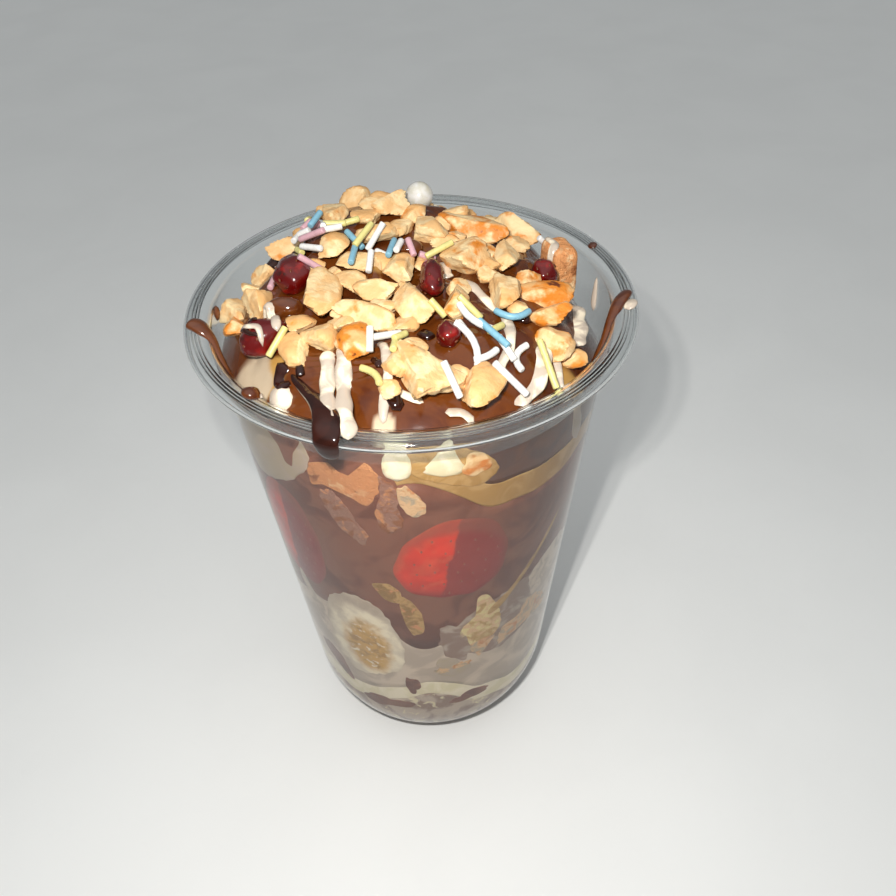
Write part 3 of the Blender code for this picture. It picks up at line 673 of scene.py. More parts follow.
# Sprinkles, by colour: x, y, heading, length, bend, lift above what is under them
SPRINKLES = {
    "white": (
        (-4.5, -23.8, 37, 8.0, 0.0, 0.0),
        (-7.0, -26.2, 88, 4.5, 0.0, 0.0),
        (12.5, -19.0, -30, 8.0, 0.16, 0.4),
        (10.4, -20.6, -62, 4.6, 0.0, 0.0),
        (11.4, -25.4, -60, 8.6, -0.2, 0.0),
        (14.4, -27.2, 32, 6.0, 0.1, 0.4),
        (18.3, -25.0, -58, 6.0, 0.0, 0.3),
        (21.0, -25.2, 76, 7.0, -0.25, 0.0),
        (31.2, 17.6, 12, 6.5, 0.0, 1.0),
        (18.6, -32.4, -22, 7.2, 0.0, 0.0),
        (7.8, -35.6, -48, 5.0, 0.0, 0.0),
        (-2.2, 4.7, 74, 4.6, 0.0, 0.4),
        (-24.6, 14.5, 74, 5.6, 0.0, 1.6),
        (-18.3, 11.9, 96, 6.0, 0.0, 2.6),
        (-22.9, 13.1, -20, 3.6, 0.0, 2.4),
        (-20.6, 5.9, -34, 6.4, 0.0, 1.4),
        (-7.2, 8.5, 38, 5.4, 0.0, 1.2),
        (-5.9, 6.5, -40, 4.2, 0.0, 0.8),
        (-8.2, 1.5, 84, 5.6, 0.0, 0.4),
        (-16.2, 9.1, 20, 5.0, 0.0, 1.0),
    ),
    "pink": (
        (-29.0, 2.7, 80, 6.0, 0.0, 0.0),
        (0.3, 5.1, -70, 4.4, 0.0, 0.3),
        (3.6, 5.1, 4, 4.0, 0.0, 0.0),
        (-21.6, 18.4, 40, 4.6, 0.0, 0.4),
        (-20.6, 8.9, -24, 7.0, 0.0, 2.4),
        (-20.4, 2.1, 6, 5.6, 0.0, 0.2),
        (-22.8, 17.5, 60, 4.0, 0.0, 2.2),
    ),
    "blue": (
        (16.0, -22.2, -50, 9.0, 0.0, 0.9),
        (20.2, -15.4, 2, 7.4, 0.3, 0.6),
        (-20.3, 14.7, 66, 5.6, 0.0, 3.2),
        (-11.8, 9.7, -52, 6.6, 0.0, 1.4),
        (-11.6, 2.7, 84, 7.4, 0.0, 0.8),
        (-3.8, 5.3, 80, 7.4, 0.0, 0.6),
    ),
    "yellow": (
        (-25.4, -20.4, 50, 6.0, 0.0, 0.0),
        (-6.6, -32.6, -54, 7.0, -0.14, 0.0),
        (-2.6, -26.0, 84, 4.4, 0.0, 0.0),
        (-1.6, -23.4, 50, 4.2, 0.0, 0.6),
        (11.8, -16.6, -26, 5.4, 0.0, 0.8),
        (16.6, -20.0, 48, 5.0, 0.0, 0.5),
        (26.2, -25.8, -68, 8.4, 0.0, 0.2),
        (6.2, 4.7, 24, 7.0, 0.0, 0.5),
        (5.6, -16.4, -30, 4.0, 0.0, 0.2),
        (-22.9, 21.3, 90, 3.8, 0.0, 2.4),
        (-16.0, 12.5, 2, 5.6, 0.0, 2.2),
        (-13.0, 13.9, 16, 5.2, 0.0, 2.0),
        (-9.6, 7.3, 56, 7.0, 0.0, 1.6),
        (-23.6, 8.5, -60, 3.6, 0.0, 1.8),
    ),
}

# End of a sprinkle: share of its length from its middle, share of its thickness
SPRINKLE_ENDS = ((0.5, 0.72), (0.492, 0.9), (0.47, 1.0))
# Even rows between the ends, as shares of its length, and points round it
SPRINKLE_MIDDLE = (-0.32, -0.16, 0.0, 0.16, 0.32)
SPRINKLE_COLUMNS = 10
# Share of its radius by which a sprinkle's middle line clears what is under it
SPRINKLE_CLEARANCE = 0.75

# Fillings and smears seen through the wall: colour, swirls, flecks or none, size and level of the
# swirls, roughness
MARBLED = {
    "base_fill": ("crumb", "crumb_dark", "cream", 8.0, 0.53, 0.5),
    "cream_fill": ("cream", "banana", None, 7.0, 0.5, 0.4),
    "yogurt_fill": ("yogurt", "yogurt_grey", None, 12.0, 0.5, 0.45),
    "chocolate_fill": ("side_chocolate", "side_chocolate_dark", None, 14.0, 0.5, 0.4),
    "caramel_fill": ("caramel", "caramel_pale", None, 7.0, 0.5, 0.35),
    "caramel_banana_fill": ("caramel_banana", "caramel_pale", "waffle", 4.0, 0.5, 0.3),
    "latte_smear": ("latte", "yogurt_grey", None, 6.0, 0.55, 0.4),
    "white_smear": ("cream", "banana", None, 5.0, 0.55, 0.35),
    "caramel_smear": ("caramel", "caramel_pale", None, 4.0, 0.5, 0.35),
    "yogurt_smear": ("yogurt_grey", "yogurt", None, 5.0, 0.5, 0.45),
    "chocolate_smear": ("side_chocolate", "side_chocolate_dark", None, 9.0, 0.5, 0.4),
    # Chocolate painted greyer and lighter, the tone it shows in shade: painted shade
    "cocoa_smear": ("crumb_dark", "yogurt_grey", None, 7.0, 0.56, 0.4),
}
# Specular level of what touches the wall: no air lies between, so it has next to no gloss of its own
WALL_SPECULAR = 0.1
# Waffle and biscuit: crust, crumb, dark bake, levels of the crumb and of the dark bake
BAKED = {
    "side_biscuit": ("waffle", "waffle_pale", "waffle_dark", 0.66, 0.66),
    "side_waffle": ("waffle_yellow", "waffle_pale", "caramel_pale", 0.5, 0.58),
    "brown_crumb": ("crumb_brown", "waffle", "waffle_dark", 0.60, 0.54),
    "pale_crumb": ("waffle_pale", "latte", "waffle", 0.55, 0.62),
    "waffle_crust": ("waffle", "waffle_pale", "waffle_dark", 0.6, 0.6),
}
# Sauces on the heap and the rim: colour, thicker parts and their share of brightness, roughness, coat,
# specular level
SAUCES = {
    "white_drizzle": ("white_chocolate", "banana", 1.0, 0.22, 0.4, 0.5),
    "dark_sauce": ("dark_chocolate", "dark_chocolate", 0.6, 0.09, 0.3, 0.35),
    "lump_sauce": ("milk_chocolate", "milk_chocolate_dark", 1.0, 0.1, 0.8, 0.5),
    "drop_sauce": ("white_chocolate", "banana", 1.0, 0.25, 0.3, 0.5),
    "rim_sauce": ("milk_chocolate", "milk_chocolate_dark", 1.0, 0.12, 0.6, 0.5),
}

# Camera: place in millimetres, pitch down and roll in degrees, lens
CAMERA_PLACE = (6.745, -162.19, 230.11)
CAMERA_PITCH = 42.06
CAMERA_ROLL = -1.78
CAMERA_LENS = 36.0
CAMERA_SENSOR = 36.0

# Lights
KEY_LIGHT_PLACE = (-7.1, -143.2, 242.5)
KEY_LIGHT_AIM = (0.0, 0.0, 60.0)
KEY_LIGHT_SIZE = 4.5
KEY_LIGHT_SPACING = 7.5
KEY_LIGHT_WATTS = 0.50
KEY_LIGHT_COLOUR = (1.0, 0.985, 0.955)
# The room: colour round about, colour overhead, and the rise between which one turns into the other
ROOM_LOW = (0.165, 0.17, 0.175, 1.0)
ROOM_HIGH = (0.76, 0.79, 0.80, 1.0)
ROOM_FADE = (0.45, 0.98)
FLOOR_SIZE = 4000.0


# --- Settings -------------------------------------------------------------------------------------


def linear(red, green, blue):
    """A colour given in display values from 0 to 255, as scene linear."""
    shares = np.array([red, green, blue]) / 255.0
    bright = ((shares + 0.055) / 1.055) ** 2.4
    return tuple(float(v) for v in np.where(shares <= 0.04045, shares / 12.92, bright))


def colour_property(name, description, *display):
    return bpy.props.FloatVectorProperty(
        name=name, description=description, subtype="COLOR", size=3, min=0.0, max=1.0,
        default=linear(*display),
    )


def length_property(name, description, millimetres):
    return bpy.props.FloatProperty(
        name=name, description=description, unit="LENGTH", min=0.0, precision=5, default=millimetres * MM
    )


class FroyoSizes(bpy.types.PropertyGroup):
    sheet: length_property("Sheet", "Thickness of the tumbler's plastic", SHEET)
    sauce_relief: length_property("Sauce Relief", "Height of the unevenness of the heap", 0.5)
    sprinkle_radius: length_property("Sprinkle Radius", "Half the thickness of a sprinkle", 0.7)
    seed_length: length_property("Seed Length", "Length of a strawberry seed", 0.85)
    berry_dimple: length_property("Berry Dimple", "Depth of the dimple round each seed", 0.08)


class FroyoColours(bpy.types.PropertyGroup):
    plastic: colour_property("Plastic", "Tint of the clear tumbler", 244, 247, 247)
    milk_chocolate: colour_property("Milk Chocolate", "Sauce over the heap", 92, 45, 11)
    milk_chocolate_dark: colour_property("Milk Chocolate, Dark", "Darker streaks in the sauce", 74, 32, 9)
    side_chocolate: colour_property("Side Chocolate", "Filling against the wall", 136, 84, 62)
    side_chocolate_dark: colour_property("Side Chocolate, Dark", "Darker swirls of the filling", 110, 60, 42)
    dark_chocolate: colour_property("Dark Chocolate", "Dark sauce", 44, 16, 8)
    white_chocolate: colour_property("White Chocolate", "White drizzle and drops", 186, 171, 155)
    latte: colour_property("Latte", "Pale sauce smeared on the wall", 184, 164, 138)
    caramel: colour_property("Caramel", "Caramel sauce", 176, 134, 70)
    caramel_pale: colour_property("Caramel, Pale", "Lighter swirls of the caramel", 192, 152, 94)
    yogurt: colour_property("Yogurt", "Yogurt layer", 214, 194, 174)
    yogurt_grey: colour_property("Yogurt, Shaded", "Darker swirls of the yogurt", 186, 166, 148)
    cream: colour_property("Cream", "Cream band", 228, 214, 178)
    crumb: colour_property("Crumb Mix", "Base of crumbs and cream", 196, 176, 158)
    crumb_dark: colour_property("Crumb Mix, Dark", "Chocolate in the base", 148, 118, 102)
    strawberry: colour_property("Strawberry", "Skin of the fruit", 84, 5, 4)
    strawberry_light: colour_property("Strawberry, Light", "Lighter flesh", 126, 16, 9)
    strawberry_side: colour_property("Strawberry, Side", "Skin against the wall", 150, 52, 44)
    # Bright cut flesh on the wall slices, with painted light: lighter on the left and top of each slice
    strawberry_cut_lit: colour_property("Strawberry, Cut", "Cut flesh against the wall", 224, 54, 22)
    berry_seed: colour_property("Strawberry Seed", "Seeds of the fruit", 150, 74, 40)
    banana: colour_property("Banana", "Flesh of the fruit", 242, 228, 202)
    banana_core: colour_property("Banana Core", "Middle of the slice", 208, 162, 84)
    caramel_banana: colour_property("Caramel Banana", "Fruit soaked in caramel", 150, 112, 58)
    waffle: colour_property("Waffle", "Baked crust", 206, 142, 92)
    waffle_pale: colour_property("Waffle, Pale", "Pale crumb", 222, 184, 140)
    waffle_dark: colour_property("Waffle, Dark", "Dark edge", 150, 92, 56)
    waffle_yellow: colour_property("Waffle, Yellow", "Soft pale waffle", 228, 208, 150)
    crumb_brown: colour_property("Brown Crumb", "Crumbs soaked in chocolate", 160, 116, 96)
    nut: colour_property("Nut", "Cut face of a nut", 230, 202, 154)
    nut_tan: colour_property("Nut, Tan", "Rounded side of a nut", 212, 160, 100)
    nut_roast: colour_property("Nut, Roasted", "Roasted patches", 206, 124, 40)
    nut_skin: colour_property("Nut Skin", "Scraps of brown skin", 98, 46, 20)
    sugar_white: colour_property("Sugar, White", "White sprinkles", 222, 220, 216)
    sugar_pink: colour_property("Sugar, Pink", "Pink sprinkles", 198, 156, 164)
    sugar_blue: colour_property("Sugar, Blue", "Blue sprinkles", 122, 170, 190)
    sugar_yellow: colour_property("Sugar, Yellow", "Yellow sprinkles", 206, 196, 126)
    pearl: colour_property("Pearl", "Sugar pearl", 196, 190, 170)
    floor: colour_property("Floor", "Table top", 236, 236, 234)


# --- Shapes ---------------------------------------------------------------------------------------


def unit(rows):
    """The rows, each brought to length one."""
    return rows / np.linalg.norm(rows, axis=-1, keepdims=True)


def ripple(points, size, seed, waves=14):
    """Smooth unevenness, mostly between -1 and 1: a sum of plane sine waves in seeded directions."""
    rough = np.random.default_rng(seed)
    directions = unit(rough.normal(size=(waves, 3)))
    turns = 2 * math.pi / (size * rough.uniform(0.7, 1.5, waves))
    phases = rough.uniform(0, 2 * math.pi, waves)
    total = np.sin(points @ (directions * turns[:, None]).T + phases).sum(axis=-1)
    return total * 0.9 / math.sqrt(waves)


def skin_faces(rows, columns):
    """Faces of a closed skin: a fan round each pole and quads between, facing out."""
    j = np.arange(columns)
    k = (j + 1) % columns
    start = 1 + columns * np.arange(rows - 3)[:, None]
    quads = np.stack([start + j, start + k, start + columns + k, start + columns + j], axis=-1)
    last = 1 + columns * (rows - 2)
    low_fan = np.stack([0 * j, 1 + k, 1 + j], axis=1)
    high_fan = np.stack([0 * j + last, last - columns + j, last - columns + k], axis=1)
    return quads.reshape(-1, 4), np.vstack([low_fan, high_fan])


def flatten_skin(grid):
    """The points of a skin in order, each pole once."""
    return np.concatenate([grid[:1, 0], grid[1:-1].reshape(-1, grid.shape[-1]), grid[-1:, 0]])


def make_piece(name, grids, material, replaced=(), sharp=None, uv=None, marks=None):
    """One named piece from closed skins in millimetres, riding on the root.

    uv gives each skin a grid of map coordinates, and marks names grids of values for the material.
    """
    points, faces, offset = [], [], 0
    for grid in grids:
        flat = flatten_skin(np.asarray(grid, float))
        quads, fans = skin_faces(*np.asarray(grid).shape[:2])
        points.append(flat)
        faces += (quads + offset).tolist() + (fans + offset).tolist()
        offset += len(flat)
    points = np.concatenate(points)
    mesh = bpy.data.meshes.new(name)
    mesh.from_pydata((points * MM).tolist(), [], faces)
    mesh.shade_smooth()
    if sharp is not None:
        mesh.set_sharp_from_angle(angle=math.radians(sharp))
    for mark, values in (marks or {}).items():
        flat = np.concatenate([flatten_skin(np.asarray(v, float)[..., None])[:, 0] for v in values])
        mesh.attributes.new(mark, "FLOAT", "POINT").data.foreach_set("value", flat.astype(np.float32))
    if uv is not None:
        flat = np.concatenate([flatten_skin(np.asarray(v, float)) for v in uv])
        corners = np.empty(len(mesh.loops), np.int32)
        mesh.loops.foreach_get("vertex_index", corners)
        layer = mesh.uv_layers.new(name="Piece")
        layer.uv.foreach_set("vector", flat[corners].astype(np.float32).ravel())
    mesh.materials.append(material)
    piece = bpy.data.objects.new(name, mesh)
    bpy.context.scene.collection.objects.link(piece)
    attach(piece, "root")
    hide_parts(*replaced)
    return piece


def arc(centre, radius, start, end, count):
    angles = np.radians(np.linspace(start, end, count))
    return np.stack([centre[0] + radius * np.cos(angles), centre[1] + radius * np.sin(angles)], axis=1)


def bezier(points, count):
    """Cubic curve through the first and last of four points."""
    p0, p1, p2, p3 = (np.array(p) for p in points)
    t = np.linspace(0, 1, count)[:, None]
    return (1 - t) ** 3 * p0 + 3 * t * (1 - t) ** 2 * p1 + 3 * t**2 * (1 - t) * p2 + t**3 * p3


def sheet_path(sheet):
    """Outer side of the tumbler's sheet as (radius, height), from the axis to the curl's edge."""
    recess_edge = FOOT_RADIUS - FOOT_WIDTH
    base = np.array([(0, FOOT_RECESS), (8, FOOT_RECESS), (recess_edge - 1.5, FOOT_RECESS)])
    steps = ((-1.4, 1.45), (-0.6, 1.2), (-0.6, 0), (0.4, 0))
    ring = bezier([(recess_edge + step, height) for step, height in steps], 6)
    slope = np.subtract(WALL_TOP, WALL_BOTTOM)
    handle = np.array(WALL_BOTTOM) - slope / slope[1] * WALL_BOTTOM[1] * CORNER_FULLNESS
    reach = FOOT_RADIUS + (WALL_BOTTOM[0] - FOOT_RADIUS) * CORNER_FULLNESS
    corner = bezier(((FOOT_RADIUS, 0), (reach, 0), handle, WALL_BOTTOM), 24)
    wall = WALL_BOTTOM + np.linspace(0, 1, 14)[1:, None] * slope
    under_flange = CUP_HEIGHT - sheet
    flare_x = WALL_TOP[0] + FLARE_STEP + FLARE_RADIUS
    flare = arc((flare_x, under_flange - FLARE_RADIUS), FLARE_RADIUS, 180, 90, 9)
    curl_centre = (RIM_RADIUS - sheet - CURL_RADIUS, under_flange - CURL_RADIUS)
    share = np.linspace(0, 1, 26)[1:-1]
    grooves = under_flange - RIM_GROOVE_DEPTH * (1 - np.cos(2 * math.pi * RIM_GROOVES * share)) / 2
    flat = np.stack([flare_x + (curl_centre[0] - flare_x) * share, grooves], axis=1)
    curl = arc(curl_centre, CURL_RADIUS, 90, 90 - CURL_SWEEP, 12)
    return np.vstack([base, ring, corner, wall, flare, flat, curl])


def offset_path(path, distance):
    """The path moved to its left, towards the inside, by distance."""
    steps = unit(np.diff(path, axis=0))
    normals = np.stack([-steps[:, 1], steps[:, 0]], axis=1)
    normals = unit(np.vstack([normals[:1], normals[:-1] + normals[1:], normals[-1:]]))
    moved = path + normals * distance
    moved[0] = (0, path[0, 1] + distance)
    return moved


def turned(profile, segments):
    """A profile of (radius, height) rows turned about the axis."""
    angle = np.linspace(0, 2 * math.pi, segments, endpoint=False)
    radius, height = profile[:, :1], profile[:, 1:]
    return np.stack([radius * np.sin(angle), -radius * np.cos(angle), height + 0 * angle], axis=-1)


def wall_radius(height):
    """Radius of the sheet's inner side at a height."""
    inner = offset_path(sheet_path(SHEET), SHEET)
    rising = inner[(inner[:, 0] > FOOT_RADIUS - 1) & (inner[:, 1] <= WALL_TOP[1] + 0.01)]
    order = np.argsort(rising[:, 1])
    return np.interp(height, rising[order, 1], rising[order, 0])


def round_heights(values, azimuth):
    """Height at an azimuth in radians, by a closed cubic through equally spaced values."""
    values = np.asarray(values, float)
    place = np.asarray(azimuth) / (2 * math.pi) * len(values)
    whole = np.floor(place).astype(int)
    t = place - whole
    a, b, c, d = (values[(whole + k) % len(values)] for k in (-1, 0, 1, 2))
    slope_b, slope_c = (c - a) / 2, (d - b) / 2
    start = b * (1 - t) ** 2 * (1 + 2 * t) + slope_b * t * (1 - t) ** 2
    return start + c * t**2 * (3 - 2 * t) - slope_c * t**2 * (1 - t)


def boundary_height(values, azimuth, share):
    """Layer boundary: its mean height, plus its rise over that at the wall times the share to a power."""
    middle = float(np.mean(values))
    waves = sum(size * np.sin(count * azimuth + phase) for count, size, phase in BOUNDARY_WAVES)
    return middle + (round_heights(values, azimuth) + waves - middle) * share**INNER_BLEND


def bump(x, y, middle_x, middle_y, spread):
    return np.exp(-((x - middle_x) ** 2 + (y - middle_y) ** 2) / (2 * spread**2))


def band(distance, half, margin):
    """1 within a half width, fading to 0 over a margin given as a share of it."""
    return np.clip(1 + margin - np.abs(distance) / half, 0, margin) / margin


def heap_grid(relief):
    """Top of the heap from its middle out: dome over the wavy edge, two swells, lumps and fine ripples.

    The dome falls to the edge by the share of the way out to the power HEAP_SHOULDER, and all that lies
    on it is a bell curve or a ripple that fades to nothing at the edge.
    """
    azimuth = np.linspace(0, 2 * math.pi, HEAP_SEGMENTS, endpoint=False)
    share = np.linspace(0, 1, HEAP_RINGS + 1)[1:, None] ** HEAP_RING_POWER
    edge = round_heights(HEAP_EDGE, azimuth)
    radius = share * (wall_radius(edge) + LAYER_REACH)
    x, y = radius * np.sin(azimuth), -radius * np.cos(azimuth)
    z = edge + (HEAP_TOP - edge) * (1 - share**HEAP_SHOULDER)
    inside = 1 - share**HEAP_FADE_POWER
    for swell in (BACK_PEAK, FRONT_SWELL):
        z = z + swell["height"] * bump(x, y, swell["x"], swell["y"], swell["spread"]) * inside
    for lump_x, lump_y, height, spread in LUMPS:
        z = z + height * bump(x, y, lump_x, lump_y, spread) * inside
    points = np.stack([x, y, z], axis=-1)
    uneven = sum(part * ripple(points, size, seed) for size, seed, part in HEAP_RIPPLES)
    points[..., 2] += relief * uneven * inside
    mid_x, mid_y, half_length, half_width, rise, spacing = RIDGED_FINGER
    end_margin, side_margin = RIDGE_MARGINS
    within = band(x - mid_x, half_length, end_margin) * band(y - mid_y, half_width, side_margin)
    wave = np.sin(2 * math.pi * (y + RIDGE_SLANT * x) / spacing)
    ridges = rise * (1 - RIDGE_SHARE + RIDGE_SHARE * wave)
    points[..., 2] += within * ridges
    return points


def layer_side(low, high, rows):
    """Rows between a layer's lower and upper edge, following the wall."""
    share = np.linspace(0, 1, rows + 2)[1:-1, None]
    z = low[None, :, 2] * (1 - share) + high[None, :, 2] * share
    azimuth = np.arctan2(low[:, 0], -low[:, 1])
    radius = wall_radius(z) + LAYER_REACH
    return np.stack([radius * np.sin(azimuth), -radius * np.cos(azimuth), z], axis=-1)


def layer_sheet(values, segments, rings=6):
    """A boundary from its middle out to the wall, as rows of points."""
    azimuth = np.linspace(0, 2 * math.pi, segments, endpoint=False)
    share = np.linspace(0, 1, rings + 1)[1:, None]
    z = boundary_height(values, azimuth, share)
    radius = (wall_radius(boundary_height(values, azimuth, 1.0)) + LAYER_REACH) * share
    return np.stack([radius * np.sin(azimuth), -radius * np.cos(azimuth), z], axis=-1)


def pole(point, columns):
    return np.broadcast_to(np.array(point, float), (1, columns, 3))


def capped(grid):
    """Rows of points between two poles, each at the middle of its end row."""
    low, high = (pole(row.mean(axis=0), grid.shape[1]) for row in (grid[0], grid[-1]))
    return np.concatenate([low, grid, high])


def layer_grid(floor, top_rows, floor_middle, top_middle):
    """A layer's closed skin from its floor rows, a side that follows the wall and its top rows."""
    columns = top_rows.shape[1]
    side = layer_side(floor[-1], top_rows[-1], LAYER_SIDE_ROWS)
    low, high = pole((0, 0, floor_middle), columns), pole((0, 0, top_middle), columns)
    return np.concatenate([low, floor, side, top_rows[::-1], high])


def outline(form, angle, seed):
    """Half width of a form as a share of its size, by angle from its right side.

    Each form is a constant and a few sines of whole multiples of the angle, with seeded phases. A berry
    has a heart's shoulders, and a block is divided by the larger of the angle's sine and cosine.
    """
    rough = np.random.default_rng(seed)
    phases = rough.uniform(0, 2 * math.pi, 4)
    if form == "oval":
        return 1 + 0.03 * np.cos(3 * angle + 1) + 0.02 * np.sin(7 * angle + phases[0])
    if form == "berry":
        heart = 0.90 + 0.14 * np.sin(angle) - 0.10 * np.cos(2 * angle) * np.sin(angle)
        return heart + 0.015 * np.sin(9 * angle + phases[0])
    if form == "block":
        corner = np.maximum(np.abs(np.cos(angle)), np.abs(np.sin(angle)))
        ragged = 0.05 * np.sin(7 * angle + phases[0]) + 0.04 * np.sin(12 * angle + phases[1])
        return 0.9 / corner**0.75 + ragged + 0.03 * np.sin(19 * angle + phases[2])
    if form == "smear":
        soft = 0.16 * np.sin(2 * angle + phases[0]) + 0.14 * np.sin(3 * angle + phases[1])
        return 0.9 + soft + 0.06 * np.sin(5 * angle + phases[2]) + 0.03 * np.sin(9 * angle + phases[3])
    if form == "crumb":
        ragged = 0.14 * np.sin(5 * angle + phases[0]) + 0.10 * np.sin(8 * angle + phases[1])
        return 0.88 + ragged + 0.08 * np.sin(13 * angle + phases[2])
    return 0.95 + 0.12 * np.cos(3 * angle + phases[0]) + 0.06 * np.cos(5 * angle + phases[1])


def on_wall(azimuth, height, inward, reach):
    """Points at an azimuth in radians and a height, that far inside the tumbler's inner side."""
    radius = wall_radius(height) + reach - inward
    return np.stack([radius * np.sin(azimuth), -radius * np.cos(azimuth), height], axis=-1)


def tilted(row, along, up):
    """Azimuth in radians and height of places on a tilted piece, given as shares of its half size."""
    azimuth, height, width, length, _, tilt, _ = row
    turn = math.radians(tilt)
    across = along * width / 2 * math.cos(turn) - up * length / 2 * math.sin(turn)
    z = height + along * width / 2 * math.sin(turn) + up * length / 2 * math.cos(turn)
    return math.radians(azimuth) + across / wall_radius(height), z


def wall_piece(row, reach, seed):
    """A piece pressed flat on the wall: its outline scaled by PIECE_SECTION, wrapped round the cup.

    Gives its points and a map whose middle is the piece's own.
    """
    depth, form = row[4], row[6]
    angle = np.linspace(0, 2 * math.pi, PIECE_SEGMENTS, endpoint=False)
    size = outline(form, angle, seed)
    share, inward = (np.array(column)[:, None] for column in zip(*PIECE_SECTION))
    along, up = np.cos(angle) * size * share, np.sin(angle) * size * share
    points = on_wall(*tilted(row, along, up), inward * depth + 0 * angle, reach)
    return points, np.stack([0.5 + along / 2, 0.5 + up / 2], axis=-1)


def wall_outline(reach, depth, ragged, corners, seed):
    """A piece pressed flat on the wall inside a smooth closed line through its corners, and its map.

    The wall is laid flat first, as lengths round it and heights. Between two corners the line is a cubic
    whose slopes are OUTLINE_ROUNDNESS times the step from the corner before to the corner after, and each
    of its points moves from the middle of the corners by a ripple times the raggedness. The rest of the
    piece is that line scaled towards the middle by PIECE_SECTION, with closer rows where it meets the wall.
    """
    corners = np.array([(math.radians(a) * WALL_MEAN_RADIUS, z) for a, z in corners])
    ahead = np.roll(corners, -1, axis=0)
    if (corners[:, 0] * ahead[:, 1] - ahead[:, 0] * corners[:, 1]).sum() < 0:
        corners = corners[::-1]
    place = np.linspace(0, len(corners), OUTLINE_SEGMENTS, endpoint=False)
    whole = place.astype(int)
    t = (place - whole)[:, None]
    a, b, c, d = (corners[(whole + k) % len(corners)] for k in (-1, 0, 1, 2))
    slope_b, slope_c = (c - a) * OUTLINE_ROUNDNESS, (d - b) * OUTLINE_ROUNDNESS
    line = b + slope_b * t + (3 * (c - b) - 2 * slope_b - slope_c) * t**2
    line += (2 * (b - c) + slope_b + slope_c) * t**3
    middle = corners.mean(axis=0)
    uneven = ripple(np.column_stack([line, 0 * line[:, 0]]), RAGGED_SIZE, seed)
    line = line + (line - middle) * (ragged * RAGGED_DEPTH * uneven)[:, None]
    section = [row for row in PIECE_SECTION if row[1] > 0]
    section += [(share, 0) for share in np.linspace(0.96, 0, OUTLINE_ROWS)]
    share, inward = (np.array(column)[:, None, None] for column in zip(*section))
    flat = middle + (line - middle) * share
    half = (line.max(axis=0) - line.min(axis=0)) / 2
    points = on_wall(flat[..., 0] / WALL_MEAN_RADIUS, flat[..., 1], inward[..., 0] * depth, reach)
    return points, 0.5 + (flat - middle) / half / 2


def spline(points, spacing):
    """A smooth curve through the given rows (Catmull-Rom), resampled about every spacing."""
    points = np.asarray(points, float)
    ends = np.vstack([2 * points[0] - points[1], points, 2 * points[-1] - points[-2]])
    length = np.linalg.norm(np.diff(points[:, :2], axis=0), axis=1).sum()
    count = max(8, int(length / spacing))
    place = np.linspace(0, len(points) - 1 - 1e-6, count)
    whole = place.astype(int)
    t = (place - whole)[:, None]
    a, b, c, d = (ends[whole + k] for k in range(4))
    return 0.5 * (2 * b + (c - a) * t + (2 * a - 5 * b + 4 * c - d) * t**2 + (3 * b - a - 3 * c + d) * t**3)


def wall_run(points, reach):
    """A run of sauce on the wall: a flat-backed section carried along azimuth, height, half width.

    The half width tapers at both ends by the square root of the way from the end, and wobbles by a sine.
    """
    path = spline([(math.radians(a) * WALL_MEAN_RADIUS, z, w) for a, z, w in points], RUN_STEP)
    tangent = unit(np.gradient(path[:, :2], axis=0))
    share = np.linspace(0, 1, len(path))
    taper = np.clip(np.minimum(share, 1 - share) * RUN_TAPER, 0, 1) ** 0.5
    angle = np.linspace(0, 2 * math.pi, RUN_COLUMNS, endpoint=False)
    wobble = 1 + RUN_WOBBLE * np.sin(share * len(path) * RUN_WOBBLE_RATE + path[0, 1])
    across = np.cos(angle) * (path[:, 2] * taper * wobble)[:, None]
    inward = RUN_DEPTH * np.clip(RUN_FLAT_FROM - np.sin(angle), 0, 2) * taper[:, None]
    s = path[:, :1] + tangent[:, 1:] * across
    z = path[:, 1:2] - tangent[:, :1] * across
    return capped(on_wall(s / WALL_MEAN_RADIUS, z, inward, reach))


def carried(path, side, half_width, half_height, columns=16, flat_base=0.55):
    """An oval section carried along a path. side points to its left, and it is flatter underneath.

    A point is the path plus side times the cosine of its angle times the half width, plus up times its
    sine times the half height, where a sine below zero counts for flat_base of itself.
    """
    tangent = unit(np.gradient(path, axis=0))
    side = unit(side - (side * tangent).sum(axis=1)[:, None] * tangent)
    up = np.cross(tangent, side)
    angle = np.linspace(0, 2 * math.pi, columns, endpoint=False)
    rise = np.where(np.sin(angle) < 0, np.sin(angle) * flat_base, np.sin(angle))
    grid = (
        path[:, None]
        + side[:, None] * (np.cos(angle) * np.asarray(half_width)[:, None])[..., None]
        + up[:, None] * (rise * np.asarray(half_height)[:, None])[..., None]
    )
    return capped(grid)


def round_ends(count, sharpness=7.0):
    """Share of full size along a strand: a quarter circle over 1/sharpness of it at both ends."""
    share = np.linspace(0, 1, count)
    nearest = np.clip(np.minimum(share, 1 - share) * sharpness, 0.0, 1.0)
    return np.sqrt(1 - (1 - nearest) ** 2) * 0.96 + 0.04


def sphere_directions(rows, columns):
    """Unit directions from straight down to straight up."""
    rise = np.linspace(-math.pi / 2, math.pi / 2, rows)[:, None]
    around = np.linspace(0, 2 * math.pi, columns, endpoint=False)
    ring = np.cos(rise)
    return np.stack([ring * np.cos(around), ring * np.sin(around), np.sin(rise) + 0 * around], axis=-1)


def turn_about_z(points, degrees):
    angle = math.radians(degrees)
    c, s = math.cos(angle), math.sin(angle)
    return points @ np.array([[c, s, 0], [-s, c, 0], [0, 0, 1]])


